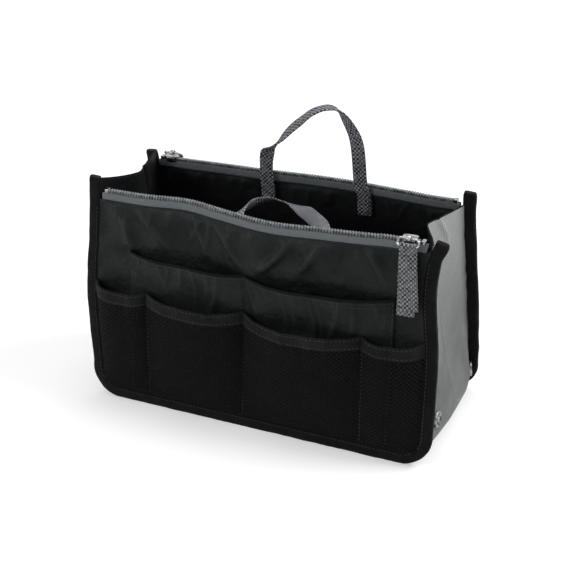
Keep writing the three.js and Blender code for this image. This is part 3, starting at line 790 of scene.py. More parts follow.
def build_binding():
    """Ribbed black tape: ribs run along it, with painted highlights on its threads and painted groove shade.
    """
    material, tree, shader = new_material(
        "black_binding_tape", Base_Color=(0.005, 0.005, 0.0055, 1), Sheen_Weight=0.02, Sheen_Roughness=0.5,
        Specular_IOR_Level=0.08,
    )
    threads = place_group(tree, THREADS, Threads_per_metre=1300.0, Repeat=2.0, Over=1.0)
    crumple = place_group(tree, CRUMPLE, Size=0.012, Sharpness=0.6)
    lint = place_group(tree, LINT, Specks=0.5, Film=0.15)
    # Painted shade in the grooves and painted highlights on the raised ribs
    cloth = blend_colours(tree, threads.outputs["Height"], BINDING_GROOVE_SHADE, BINDING_RIB_HIGHLIGHT)
    dusty = blend_colours(tree, lint.outputs["Mask"], cloth, BINDING_DUST)
    tree.links.new(dusty, shader.inputs["Base Color"])
    rough = range_node(tree, crumple.outputs["Mask"], 0.0, 1.0, 0.72, 0.55)
    tree.links.new(rough, shader.inputs["Roughness"])
    first = add_bump(tree, shader, crumple.outputs["Height"], 0.0012, 0.5)
    add_bump(tree, shader, threads.outputs["Height"], 0.00022, 0.9, first)
    return material


def build_net():
    """Fine black net: the holes are cut by the strand mask."""
    material, tree, shader = new_material(
        "black_net", Base_Color=(0.004, 0.004, 0.0045, 1), Roughness=0.65, Sheen_Weight=0.0,
        Specular_IOR_Level=0.04,
    )
    net = place_group(tree, NET, Width=0.0036, Height=0.0032, Strand=0.3)
    tree.links.new(net.outputs["Strand mask"], shader.inputs["Alpha"])
    # Painted shade and highlight across the round of each strand
    shade = blend_colours(tree, net.outputs["Height"], NET_SHADE, NET_LIT)
    tree.links.new(shade, shader.inputs["Base Color"])
    add_bump(tree, shader, net.outputs["Height"], 0.0003, 0.9)
    return material


BINDING_TAPE = build_binding()
BLACK_NET = build_net()
print("trims:", BINDING_TAPE.name, BLACK_NET.name)

# %% Twill, webbing and zip tape
# Furrows of the twill, painted dark as shade between the threads, and its threads: first at the foot of an
# end, painted darker as shade, and then at its mouth, painted paler as light
TWILL_FURROW_SHADES = ((0.014, 0.015, 0.016), (0.09, 0.094, 0.095))
TWILL_THREADS = ((0.135, 0.14, 0.142), (0.45, 0.465, 0.468))
TWILL_DUST = (0.25, 0.255, 0.255)
GROOVE_SHADE = 0.4


def build_twill():
    """Grey twill: fine threads, painted furrow shade, painted darker at the foot, paler at the mouth, and
    dust.
    """
    material, tree, shader = new_material(
        "grey_twill", Base_Color=(0.2, 0.205, 0.205, 1), Sheen_Weight=0.15, Sheen_Roughness=0.5,
        Specular_IOR_Level=0.35,
    )
    threads = place_group(tree, THREADS, Threads_per_metre=760.0, Repeat=2.0, Over=1.0)
    crumple = place_group(tree, CRUMPLE, Size=0.03, Sharpness=0.5)
    # Painted shade at the foot and painted light towards the mouth, and painted shade in the furrows
    height = place_group(tree, PAINTED_FOOT_SHADE)
    furrow = blend_colours(tree, height.outputs["Mask"], *TWILL_FURROW_SHADES)
    thread = blend_colours(tree, height.outputs["Mask"], *TWILL_THREADS)
    weave = blend_colours(tree, threads.outputs["Height"], furrow, thread)
    lint = place_group(tree, LINT, Specks=0.15, Film=0.25)
    dusty = blend_colours(tree, lint.outputs["Mask"], weave, TWILL_DUST)
    tree.links.new(dusty, shader.inputs["Base Color"])
    rough = range_node(tree, crumple.outputs["Mask"], 0.0, 1.0, 0.7, 0.58)
    tree.links.new(rough, shader.inputs["Roughness"])
    first = add_bump(tree, shader, crumple.outputs["Height"], 0.0015, 0.5)
    add_bump(tree, shader, threads.outputs["Height"], 0.00014, 0.8, first)
    return material


def build_webbing(name, dark, light, threads_per_metre, sheen=0.2, specular=0.35):
    """Woven tape: pale yarns over dark ones, with shadow in the grooves between them."""
    material, tree, shader = new_material(
        name, Base_Color=(*light, 1), Sheen_Weight=sheen, Sheen_Roughness=0.5, Specular_IOR_Level=specular
    )
    threads = place_group(tree, THREADS, Threads_per_metre=threads_per_metre, Repeat=2.0, Over=1.0)
    strong = range_node(tree, threads.outputs["Thread value"], 0.25, 0.75)
    over = threads.outputs["Over mask"]
    mixed = math_node(tree, "MULTIPLY_ADD", over, 0.7, math_node(tree, "MULTIPLY", strong, 0.3))
    yarn = blend_colours(tree, mixed, dark, light)
    groove = range_node(tree, threads.outputs["Height"], 0.0, 0.5)
    shadow = tuple(GROOVE_SHADE * v for v in dark)
    tree.links.new(blend_colours(tree, groove, shadow, yarn), shader.inputs["Base Color"])
    crumple = place_group(tree, CRUMPLE, Size=0.02, Sharpness=0.5)
    rough = range_node(tree, crumple.outputs["Mask"], 0.0, 1.0, 0.78, 0.62)
    tree.links.new(rough, shader.inputs["Roughness"])
    add_bump(tree, shader, threads.outputs["Height"], 0.0004, 0.9)
    return material


GREY_TWILL = build_twill()
WEBBING = build_webbing("salt_and_pepper_webbing", (0.004, 0.0045, 0.006), (0.33, 0.338, 0.355), 640.0)
DARK_WEBBING = build_webbing(
    "dark_handle_webbing", (0.004, 0.004, 0.006), (0.38, 0.386, 0.425), 620.0, sheen=0.0, specular=0.12
)
ZIP_TAPE = build_webbing("grey_zip_tape", (0.13, 0.148, 0.158), (0.27, 0.295, 0.308), 1500.0)
print("woven greys:", GREY_TWILL.name, WEBBING.name, DARK_WEBBING.name, ZIP_TAPE.name)

# %% Teeth, metal and thread
def build_hard(name, dark, light, metallic, roughness_low, roughness_high):
    """Hard smooth surface with a soft change of colour and shine, and a faint bump."""
    material, tree, shader = new_material(name, Base_Color=(*light, 1), Metallic=metallic)
    crumple = place_group(tree, CRUMPLE, Size=0.004, Sharpness=0.7)
    tree.links.new(blend_colours(tree, crumple.outputs["Mask"], dark, light), shader.inputs["Base Color"])
    rough = range_node(tree, crumple.outputs["Height"], 0.3, 0.7, roughness_low, roughness_high)
    tree.links.new(rough, shader.inputs["Roughness"])
    add_bump(tree, shader, crumple.outputs["Height"], 0.0001, 0.3)
    return material


NICKEL = build_hard("bright_nickel", (0.2, 0.2, 0.205), (0.48, 0.48, 0.49), 1.0, 0.16, 0.3)
WORN_NICKEL = build_hard("worn_nickel", (0.05, 0.052, 0.055), (0.34, 0.345, 0.35), 1.0, 0.3, 0.5)
TEETH = build_hard("grey_zip_teeth", (0.08, 0.09, 0.095), (0.18, 0.195, 0.203), 0.0, 0.35, 0.5)
THREAD = build_webbing("black_thread", (0.003, 0.003, 0.0035), (0.014, 0.014, 0.015), 3000.0)
print("metal, teeth and thread:", NICKEL.name, WORN_NICKEL.name, TEETH.name, THREAD.name)

# %% [markdown]
# ## Bindings
#
# A binding is a folded tape sewn over the raw edges of a side, with a stiff core inside. It runs down one
# end, along the foot and up the other end, and its two ends stand up as ears. It is a strip with a padded
# section. Short puckers cross it, most of all where it turns the lower corners.

# %% Line of a binding
BINDING_EDGE = BINDING_WIDTH / 2
CORNER_X = HALF_LENGTH - BINDING_RADIUS
CORNER_STEPS = 22
UPRIGHT_STEPS = 64
FOOT_STEPS = 110


def edge_line(inset, top):
    """Places and sideways directions along a side's rounded edge, a given way in from its outline."""
    radius = BINDING_RADIUS - inset
    places = []
    for z in shares(UPRIGHT_STEPS, top, BINDING_RADIUS):
        places.append((inset - HALF_LENGTH, z, -1.0, 0.0))
    for turn in shares(CORNER_STEPS + 1, 180, 270)[1:]:
        angle = math.radians(turn)
        places.append((
            radius * math.cos(angle) - CORNER_X, BINDING_RADIUS + radius * math.sin(angle),
            math.cos(angle), math.sin(angle),
        ))
    for x in shares(FOOT_STEPS, -CORNER_X, 0)[1:]:
        places.append((x, inset, 0.0, -1.0))
    left = np.array(places)
    right = left[-2::-1] * np.array([-1, 1, -1, 1])
    line = np.concatenate([left, right])
    return line[:, :2], line[:, 2:]


binding_places, binding_normals = edge_line(BINDING_EDGE, EAR_HEIGHT)
print("binding line has", len(binding_places), "points")

# %% Padded section with puckers
SECTION_TURNS = 18
SECTION_POWER = 0.55
PUCKER_DEPTH = 0.45 * MM
PUCKER_LENGTH = 5.5 * MM
WIDE_PUCKER_LENGTH = 12 * MM
PUCKER_SHARE = 0.8
# Places near the lower corners have deeper puckers: below this height, and this far from the middle
CORNER_PUCKER_TOP = 50 * MM
CORNER_PUCKER_START = 100 * MM
CORNER_PUCKER_EASE = 20 * MM
# The edge wavers slowly to both sides, but not at its tips, where the tape is a little thinner
WAVER = 0.5 * MM
WAVER_LENGTH = 40 * MM
WAVER_EASE = 20 * MM
TIP_SHARE = 0.86
TIP_LENGTH = 3 * MM


def padded_section(width, thickness):
    """Section of a folded tape: a rounded flat form, fuller in its middle."""
    ring = []
    for i in range(SECTION_TURNS):
        angle = 2 * math.pi * i / SECTION_TURNS
        c, s = math.cos(angle), math.sin(angle)
        ring.append((
            width / 2 * math.copysign(abs(c) ** SECTION_POWER, c),
            thickness / 2 * math.copysign(abs(s) ** SECTION_POWER, s),
        ))
    return np.array(ring)


print("binding section has", len(padded_section(BINDING_WIDTH, BINDING_THICKNESS)), "points")

# %% Bound edges with their ears
# Ears that bend over at their tips: side and end, how far out, how far down, and the turn of the tip
EAR_BENDS = {
    ("front", 1): (2.6 * MM, 4.0 * MM, 15),
    ("front", -1): (-0.6 * MM, -4.4 * MM, -4),
    ("back", -1): (0.4 * MM, -3.0 * MM, 3),
    ("back", 1): (0.8 * MM, 0.5 * MM, 5),
}
EAR_BEND_LENGTH = 18 * MM
# A binding that comes this near to its lowest place lies flat on the floor
FLOOR_REACH = 0.2 * MM


def bent_ears(side, middle, sideways):
    """The line of a binding with its ears bent over, and its sideways directions turned with them."""
    for end in (-1, 1):
        out, down, degrees = EAR_BENDS[side, end]
        at_end = binding_places[:, 0] * end > CORNER_X
        share = at_end * smooth((binding_places[:, 1] - EAR_HEIGHT + EAR_BEND_LENGTH) / EAR_BEND_LENGTH)
        middle[:, 0] += HALF_TURN[side] * end * out * share
        middle[:, 2] -= down * share
        tilt = np.radians(degrees) * share
        sideways[:, 2] -= np.sin(tilt)
        sideways[:, 0] *= np.cos(tilt)
    return middle, unit(sideways)


def puckered_rings(run, seed):
    """Section of a binding at each point of its line, with its puckers and its thinner tips."""
    section = padded_section(BINDING_WIDTH, BINDING_THICKNESS)
    ring = np.repeat(section[None], len(run), axis=0)
    girth = np.arange(SECTION_TURNS) / SECTION_TURNS
    pucker = rough_noise(run[:, None] / PUCKER_LENGTH, 6 * girth[None], 1.0, seed)
    wide_pucker = rough_noise(run[:, None] / WIDE_PUCKER_LENGTH, 3 * girth[None], 1.0, seed + 5)
    low = smooth((CORNER_PUCKER_TOP - binding_places[:, 1]) / CORNER_PUCKER_EASE)
    far = smooth((np.abs(binding_places[:, 0]) - CORNER_PUCKER_START) / CORNER_PUCKER_EASE)
    depth = PUCKER_DEPTH * (1 + PUCKER_SHARE * (low * far)[:, None])
    ring[:, :, 1] += depth * pucker * np.sign(ring[:, :, 1]) * PUCKER_SHARE
    ring[:, :, 0] += depth * PUCKER_SHARE * wide_pucker
    from_tip = np.minimum(run, run[-1] - run)
    fullness = TIP_SHARE + (1 - TIP_SHARE) * smooth(from_tip / TIP_LENGTH)
    return ring * fullness[:, None, None]


def binding_for(side, seed):
    """The bound edge of one side."""
    run = lengths_along(binding_places)
    from_tip = np.minimum(run, run[-1] - run)
    waver = WAVER * rough_noise(run / WAVER_LENGTH, run * 0, 1.0, seed + 9) * smooth(from_tip / WAVER_EASE)
    x = binding_places[:, 0] + binding_normals[:, 0] * waver
    middle = on_side(side, x, binding_places[:, 1], BINDING_THICKNESS / 2)
    turn = HALF_TURN[side]
    rise = binding_normals[:, 1]
    sideways = np.stack([turn * binding_normals[:, 0], turn * LEAN * rise, rise], axis=-1)
    middle, sideways = bent_ears(side, middle, sideways)
    near_floor = middle[:, 2] < BINDING_EDGE + FLOOR_REACH
    middle[near_floor, 2] = BINDING_EDGE
    outward = repeated((0, OUTWARD_Y[side], 0), len(run))
    ring = puckered_rings(run, seed)
    piece = strip(f"{side}_edge_binding", middle, sideways, outward, ring, [BINDING_TAPE])
    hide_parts(f"{side}_binding")
    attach(piece, f"{side}_side")
    return piece


bindings = [binding_for(side, 3 + 8 * i) for i, side in enumerate(SIDES)]
print("made", [piece.name for piece in bindings])

# %% [markdown]
# ## Stitches
#
# A row of stitches is what makes sewn cloth read as sewn. Each stitch is a short thread that dips into the
# cloth at both ends. One helper lays a row along any line on a side, and gives back one object for the row.

# %% Stitch helper
STITCH_PITCH = 3.0 * MM
STITCH_LENGTH = 2.2 * MM
STITCH_RADIUS = 0.28 * MM
STITCH_SIDES = 6
# Rings of one stitch from end to end: place along it, share of its radius, and lift in radii
STITCH_RINGS = ((-0.5, 0.35, -0.9), (-0.3, 0.9, 0.2), (0.0, 1.0, 0.45), (0.3, 0.9, 0.2), (0.5, 0.35, -0.9))


def at_length(values, run, length):
    """Row of values at a length along a line."""
    return np.array([np.interp(length, run, values[:, k]) for k in range(3)])


def stitch_points(at, along, out):
    """Points of one stitch, ring by ring."""
    across = np.cross(along, out)
    points = []
    for place, fullness, lift in STITCH_RINGS:
        centre = at + along * place * STITCH_LENGTH + out * lift * STITCH_RADIUS
        for j in range(STITCH_SIDES):
            angle = 2 * math.pi * j / STITCH_SIDES
            spoke = math.cos(angle) * across + math.sin(angle) * out
            points.append(centre + STITCH_RADIUS * fullness * spoke)
    return points


def stitch_faces():
    """Faces of one stitch, and the UV place of each of their corners."""
    faces = []
    corner_uvs = []
    for i in range(len(STITCH_RINGS) - 1):
        for j in range(STITCH_SIDES):
            k = (j + 1) % STITCH_SIDES
            low, high = i * STITCH_SIDES, (i + 1) * STITCH_SIDES
            faces.append((low + j, high + j, high + k, low + k))
            corner_uvs += [(a * MM, b * MM) for a, b in ((j, i), (j, i + 1), (j + 1, i + 1), (j + 1, i))]
    last = (len(STITCH_RINGS) - 1) * STITCH_SIDES
    faces += [tuple(range(STITCH_SIDES)), tuple(range(last, last + STITCH_SIDES))[::-1]]
    corner_uvs += [(0.0, 0.0)] * (2 * STITCH_SIDES)
    return faces, corner_uvs


def stitch_row(name, line, outward, body, pitch=STITCH_PITCH):
    """Stitches along a line of points on cloth, with an outward direction for each point."""
    run = lengths_along(line)
    count = max(2, int(run[-1] / pitch))
    one_faces, one_uvs = stitch_faces()
    points = []
    faces = []
    for middle in (np.arange(count) + 0.5) * run[-1] / count:
        step = at_length(line, run, middle + MM) - at_length(line, run, middle - MM)
        along = step / max(np.linalg.norm(step), TINY)
        out = at_length(outward, run, middle)
        out = unit(out - along * (out @ along))
        base = len(points)
        points += stitch_points(at_length(line, run, middle), along, out)
        faces += [tuple(base + k for k in face) for face in one_faces]
    corner_uvs = one_uvs * count
    points = np.array(points)
    if signed_volume(points, faces) < 0:
        faces, corner_uvs = turned_over(faces, corner_uvs)
    piece = make_mesh(name, points, faces, corner_uvs, [THREAD])
    if body:
        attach(piece, body)
    return piece


def outward_of(side, count):
    """The outward direction of a side, once for each point of a line."""
    return repeated((0.0, OUTWARD_Y[side], 0.0), count)


BINDING_STITCH_INSET = 7.6 * MM
stitch_places, _ = edge_line(BINDING_STITCH_INSET, EAR_HEIGHT - EAR_BEND_LENGTH)
for side in SIDES:
    seam = on_side(side, stitch_places[:, 0], stitch_places[:, 1], -0.1 * MM)
    stitch_row(f"{side}_binding_stitches", seam, outward_of(side, len(seam)), f"{side}_side")
print("binding stitches laid")

# %% [markdown]
# ## Outer sheets and linings
#
# Each side is two sheets of thin nylon with the zip compartment between them. Above the pockets the outer
# sheet shows, so that is where its creases matter: long ones run from the zip to the pocket seam, and short
# ones hang from the zip. Creases only push the cloth away from the compartment, which keeps the layers apart.

# %% Creases and held places of the sheets
SHEET_THICKNESS = 0.8 * MM
SHEET_TUCK = 2 * MM
POCKET_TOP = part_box("front_pocket_piping")[1].z
# Long creases of the outer sheets in mm: start and end as (x, z), width and height
LONG_CREASES = {
    "front": in_metres((
        ((-34, 158), (-8, 124), 2.8, 4.6), ((-52, 158), (-38, 128), 3.2, 4.0),
        ((-98, 157), (-70, 126), 3.6, 4.4), ((-112, 150), (-98, 104), 3.2, 4.0),
        ((30, 158), (-2, 126), 3.0, 4.4), ((52, 158), (30, 130), 3.2, 3.6),
        ((84, 158), (100, 128), 3.4, 3.8), ((118, 156), (124, 108), 2.4, 1.2),
    )),
    "back": in_metres((
        ((-20, 158), (4, 127), 3.0, 1.3), ((52, 158), (64, 128), 3.4, 1.1),
        ((-88, 157), (-100, 126), 3.6, 1.1),
    )),
}
# Sewn ends of each side's handle: x of the first and of the last
STRAP_ENDS = {"front": (-20 * MM, 50 * MM), "back": (29.5 * MM, -49.5 * MM)}
# Places where a piece lies on the sheet and holds it flat: x, z, half width, half height
HELD_OUTSIDE = {side: ((114 * MM, 138 * MM, 16 * MM, 44 * MM),) for side in SIDES}
HELD_INSIDE = {side: tuple((x, 150 * MM, 14 * MM, 20 * MM) for x in STRAP_ENDS[side]) for side in SIDES}
HELD_SHARE = 0.95


def held_flat(x, z, places):
    """1 where a sheet is free, falling to nearly 0 where another piece lies on it."""
    free = 1.0
    for centre, height, wide, high in places:
        free = free * (1 - HELD_SHARE * np.exp(-(((x - centre) / wide) ** 4) - ((z - height) / high) ** 4))
    return free


print("places held flat on each lining:", len(HELD_INSIDE["front"]))

# %% Relief of a sheet
SHEET_SWELL = 1.5 * MM
SHEET_SWELL_SIZE = 38 * MM
SHEET_WRINKLE = 0.7 * MM
SHEET_WRINKLE_SIZE = 34 * MM
HANGING_SPAN = (-122 * MM, 122 * MM)
HANGING_FOOT = 20 * MM
HANGING_LENGTHS = (12 * MM, 34 * MM)
HANGING_LEAN = 0.6
HANGING_HEIGHT = 1.5 * MM
# The relief grows from nothing over these lengths at the bindings, the zip and the foot of the free cloth
BINDING_EASE = 14 * MM
ZIP_EASE = 5 * MM
FOOT_EASE = 10 * MM


def sheet_relief(x, z, seed, floor, count, long_creases, held_places):
    """How far the creases of a sheet stand out, from nothing at its sewn borders."""
    relief = SHEET_SWELL * (0.5 + 0.5 * rough_noise(x, z, SHEET_SWELL_SIZE, seed))
    relief = relief + SHEET_WRINKLE * wrinkles(x, z, SHEET_WRINKLE_SIZE, seed + 40)
    for start, end, width, height in long_creases:
        relief = relief + height * crease(x, z, start, end, width)
    hanging = hanging_creases(
        seed, count, HANGING_SPAN, PANEL_TOP, HANGING_FOOT, HANGING_LENGTHS, HANGING_LEAN,
    )
    for start, end, width, share in hanging:
        relief = relief + HANGING_HEIGHT * share * crease(x, z, start, end, width)
    beside = smooth((HALF_INSIDE - np.abs(x)) / BINDING_EASE)
    above = smooth((PANEL_TOP + 0.5 * MM - z) / ZIP_EASE)
    below = smooth((z - floor) / FOOT_EASE)
    return relief * beside * above * held_flat(x, z, held_places) * below


def side_sheet(side, name, node, middle_depth, outward_turn, material, relief_values):
    """One sheet of nylon between the bindings of a side."""
    x, z = np.meshgrid(
        shares(190, -HALF_INSIDE - SHEET_TUCK, HALF_INSIDE + SHEET_TUCK),
        shares(110, SHEET_FOOT - SHEET_TUCK, PANEL_TOP),
    )
    relief = sheet_relief(x, z, *relief_values)
    points = on_side(side, x, z, middle_depth - outward_turn * relief)
    piece = sheet(name, points, SHEET_THICKNESS, [material], (0, OUTWARD_Y[side] * outward_turn, 0))
    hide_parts(node)
    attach(piece, f"{side}_side")
    return piece


print("creases hang", round(HANGING_LENGTHS[0] / MM), "to", round(HANGING_LENGTHS[1] / MM), "mm from the zip")

# %% Outer sheets and linings
POCKET_ZONE_TOP = POCKET_TOP - 2 * MM
PANEL_MIDDLE = PANEL_FACE + SHEET_THICKNESS / 2
LINING_MIDDLE = LINING_FACE + SHEET_THICKNESS / 2
for i, side in enumerate(SIDES):
    outer_relief = (21 + 7 * i, POCKET_ZONE_TOP, 15, LONG_CREASES[side], HELD_OUTSIDE[side])
    side_sheet(side, f"{side}_outer_sheet", f"{side}_panel", PANEL_MIDDLE, 1, BLACK_NYLON, outer_relief)
print("outer sheets made")
for i, side in enumerate(SIDES):
    inner_relief = (51 + 7 * i, 0.0, 18, (), HELD_INSIDE[side])
    side_sheet(side, f"{side}_lining_sheet", f"{side}_lining", LINING_MIDDLE, -1, LINING_NYLON, inner_relief)
print("linings made")

# %% [markdown]
# ## Zips
#
# Each mouth closes with a zip. Two woven tapes rise from the sheets and carry meshed teeth between them.
# The nylon is folded under each tape, which shows as a thin dark roll. The teeth are moulded blocks: each is
# the same small block, set in two rows half a step apart.

# %% Zip tapes and their rolled seams
TAPE_THICKNESS = 0.8 * MM
TAPE_TUCK = 0.8 * MM
TAPE_PUFF = 0.35 * MM
TAPE_WAVER = 0.22 * MM
TAPE_WAVER_SIZE = 9 * MM
ROLL_RADIUS = 0.75 * MM
ROLL_WAVER = 0.12 * MM
ROLL_WAVER_SIZE = 8 * MM
ROLL_SEED = 4


def tape_band(side, name, node, foot_depth, top_depth, outward_turn, seed):
    """Woven tape from the top of a sheet to the teeth."""
    x, share = np.meshgrid(shares(240, -HALF_TAPE, HALF_TAPE), shares(9))
    z = TAPE_FOOT - TAPE_TUCK + share * (TAPE_TOP - TAPE_FOOT + TAPE_TUCK + 0.2 * MM)
    puff = TAPE_PUFF * np.sin(share * math.pi) + TAPE_WAVER * rough_noise(x, z, TAPE_WAVER_SIZE, seed)
    points = on_side(side, x, z, foot_depth + (top_depth - foot_depth) * share**2 - outward_turn * puff)
    piece = sheet(name, points, TAPE_THICKNESS, [ZIP_TAPE], (0, OUTWARD_Y[side] * outward_turn, 0))
    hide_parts(node)
    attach(piece, f"{side}_side")
    return piece


def rolled_seam(side, name, depth):
    """Thin roll of folded nylon along the foot of a tape."""
    x = shares(200, -HALF_TAPE, HALF_TAPE)
    waver = ROLL_WAVER * rough_noise(x, x * 0, ROLL_WAVER_SIZE, ROLL_SEED)
    line = on_side(side, x, PANEL_TOP - 0.5 * MM, depth + waver)
    up = repeated((0.0, 0.0, 1.0), len(x))
    section = round_section(ROLL_RADIUS, 10)
    piece = strip(name, line, up, outward_of(side, len(x)), section, [BLACK_NYLON])
    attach(piece, f"{side}_side")
    return piece


TAPE_OUTER = CHAIN_FACE + 0.5 * MM
TAPE_INNER = CHAIN_FACE + CHAIN_WIDTH - 0.5 * MM
for i, side in enumerate(SIDES):
    tape_band(side, f"{side}_outer_tape", f"{side}_zip_tape_outer", PANEL_MIDDLE, TAPE_OUTER, 1, 61 + i)
    tape_band(side, f"{side}_inner_tape", f"{side}_zip_tape_inner", LINING_MIDDLE, TAPE_INNER, -1, 65 + i)
    rolled_seam(side, f"{side}_outer_roll", PANEL_FACE - 0.1 * MM)
    rolled_seam(side, f"{side}_inner_roll", LINING_FACE + SHEET_THICKNESS + 0.2 * MM)
print("zip tapes made")

# %% Zip teeth
TOOTH_PITCH = 2.2 * MM
TOOTH_LENGTH = 1.4 * MM
TOOTH_REACH = 2.5 * MM
TOOTH_ROUND = 0.3 * MM
TOOTH_HEIGHT = CHAIN_TOP - CHAIN_FOOT


def rounded_block(size, round_by):
    """Points and faces of a block with cut edges, centred on the origin."""
    half = np.array(size) / 2
    points = []
    for axis in range(3):
        others = [k for k in range(3) if k != axis]
        for end in (-1, 1):
            for a in (-1, 1):
                for b in (-1, 1):
                    place = np.zeros(3)
                    place[axis] = end * half[axis]
                    place[others[0]] = a * (half[others[0]] - round_by)
                    place[others[1]] = b * (half[others[1]] - round_by)
                    points.append(place)
    return np.array(points), hull_faces(points)


def hull_faces(points):
    """Faces of the convex hull of a few points, turned outward."""
    work = bmesh.new()
    corners = [work.verts.new(p) for p in points]
    work.verts.index_update()
    bmesh.ops.convex_hull(work, input=corners)
    bmesh.ops.dissolve_limit(work, angle_limit=math.radians(1), verts=work.verts, edges=work.edges)
    bmesh.ops.recalc_face_normals(work, faces=work.faces)
    faces = [tuple(v.index for v in face.verts) for face in work.faces]
    work.free()
    return faces


def copies_of(name, points, faces, places, turns, materials):
    """One object that holds a copy of a small form at each place, turned by a 3 by 3 matrix."""
    all_points = []
    all_faces = []
    for n, (place, turn) in enumerate(zip(places, turns)):
        all_points.append(points @ np.asarray(turn).T + place)
        all_faces += [tuple(k + n * len(points) for k in face) for face in faces]
    all_points = np.concatenate(all_points)
    corner_uvs = [tuple(all_points[k][:2] + all_points[k][1:]) for face in all_faces for k in face]
    piece = make_mesh(name, all_points, all_faces, corner_uvs, materials)
    piece.data.polygons.foreach_set("use_smooth", np.zeros(len(all_faces), bool))
    return piece


def teeth_for(side):
    """Two rows of teeth along a side's mouth."""
    points, faces = rounded_block((TOOTH_LENGTH, TOOTH_REACH, TOOTH_HEIGHT), TOOTH_ROUND)
    count = int(2 * HALF_CHAIN / TOOTH_PITCH)
    height = (CHAIN_FOOT + CHAIN_TOP) / 2
    places = []
    turns = []
    for row, depth in enumerate((CHAIN_FACE + TOOTH_REACH / 2, CHAIN_FACE + CHAIN_WIDTH - TOOTH_REACH / 2)):
        x = (np.arange(count) + 0.5 * row + 0.25) * TOOTH_PITCH - HALF_CHAIN
        middles = on_side(side, x, height, depth)
        ahead = on_side(side, x + MM, height, depth)
        for place, step in zip(middles, ahead - middles):
            along = unit(step)
            across = unit(np.cross((0, 0, 1), along))
            places.append(place)
            turns.append(np.stack([along, across, np.cross(along, across)], axis=1))
    piece = copies_of(f"{side}_zip_teeth", points, faces, places, turns, [TEETH])
    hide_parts(f"{side}_zip_chain")
    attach(piece, f"{side}_side")
    return piece


for side in SIDES:
    teeth = teeth_for(side)
    print(teeth.name, "has", len(teeth.data.polygons), "faces")

# %% [markdown]
# ## Nylon pockets
#
# A panel of nylon is sewn to the outer sheet at its foot and at three upright seams, which leaves two wide
# pockets. An empty pocket stands off a little: least at its seams, most at the middle of its mouth. The panel
# is cut fuller than the sheet behind it, so gathers hang from the mouth, and they only push outward.

# %% Form of the nylon pockets
pocket_low, pocket_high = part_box("front_pocket_panel")
piping_low, piping_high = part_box("front_pocket_piping")
MIDDLE_SEAM = -8 * MM
POCKET_SEAMS = (pocket_low.x, MIDDLE_SEAM, pocket_high.x)
POCKET_FOOT = pocket_low.z
POCKET_MOUTH = pocket_high.z
POCKET_THICKNESS = 0.8 * MM
POCKET_REST = 0.35 * MM
POCKET_BULGE = 7.4 * MM
POCKET_SAG = 2.2 * MM
# Wrinkles and gathers of the pockets
POCKET_SWELL = 1.2 * MM
POCKET_SWELL_SIZE = 28 * MM
POCKET_WRINKLE = 0.6 * MM
POCKET_WRINKLE_SIZE = 30 * MM
POCKET_SEEDS = {"front": 71, "back": 83}
GATHER_COUNT = 21
GATHER_SPAN = (-100 * MM, 104 * MM)
GATHER_TOP = 124 * MM
GATHER_FOOT = 60 * MM
GATHER_LENGTHS = (14 * MM, 44 * MM)
GATHER_LEAN = 0.35
GATHER_HEIGHT = 2.0 * MM
GATHER_SEEDS = {"front": 204, "back": 311}
POCKET_GATHERS = {
    side: hanging_creases(
        GATHER_SEEDS[side], GATHER_COUNT, GATHER_SPAN, GATHER_TOP, GATHER_FOOT, GATHER_LENGTHS, GATHER_LEAN
    )
    for side in SIDES
}


def bay(x, seams):
    """0 at each seam and past the last ones, 1 in the middle of each bay between two seams."""
    height = 0.0
    for a, b in zip(seams, seams[1:]):
        share = np.clip((x - a) / (b - a), 0, 1)
        height = height + (1 - np.abs(2 * share - 1) ** 2.4) ** 0.9
    return height


def pocket_relief(side, x, z):
    """How far the gathers and soft wrinkles of a nylon pocket push outward."""
    seed = POCKET_SEEDS[side]
    relief = POCKET_SWELL * (0.5 + 0.5 * rough_noise(x, z, POCKET_SWELL_SIZE, seed))
    relief = relief + POCKET_WRINKLE * wrinkles(x, z, POCKET_WRINKLE_SIZE, seed + 40)
    for start, end, width, share in POCKET_GATHERS[side]:
        relief = relief + GATHER_HEIGHT * share * crease(x, z, start, end, width)
    return relief * np.sqrt(bay(x, POCKET_SEAMS)) * smooth((z - POCKET_FOOT) / (30 * MM))


def pocket_stand(side, x, z):
    """How far the outer face of a nylon pocket stands off the sheet behind it."""
    share = np.clip((z - POCKET_FOOT) / (POCKET_MOUTH - POCKET_FOOT), 0, 1)
    rise = 0.45 * (1 - (1 - share) ** 2.5) + 0.55 * share**2.2
    stand = POCKET_REST + POCKET_BULGE * rise * bay(x, POCKET_SEAMS)
    return stand + pocket_relief(side, x, z) + POCKET_THICKNESS


def pocket_sag(x, z):
    """How far the mouth of a nylon pocket hangs below its seams."""
    share = np.clip((z - POCKET_FOOT) / (POCKET_MOUTH - POCKET_FOOT), 0, 1)
    return POCKET_SAG * bay(x, POCKET_SEAMS) * share**3


def on_pocket(side, x, z, proud):
    """Points on a nylon pocket, a given way proud of its outer face."""
    return on_side(side, x, z - pocket_sag(x, z), PANEL_FACE - pocket_stand(side, x, z) - proud)


print("gathers on a side's pockets:", len(POCKET_GATHERS["front"]))

# %% Nylon pockets
for side in SIDES:
    x, z = np.meshgrid(
        shares(220, POCKET_SEAMS[0], POCKET_SEAMS[-1]), shares(100, POCKET_FOOT, POCKET_MOUTH + 0.6 * MM)
    )
    points = on_pocket(side, x, z, -POCKET_THICKNESS / 2)
    piece = sheet(f"{side}_nylon_pockets", points, POCKET_THICKNESS, [BLACK_NYLON], (0, OUTWARD_Y[side], 0))
    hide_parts(f"{side}_pocket_panel")
    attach(piece, f"{side}_side")
print("nylon pockets made")

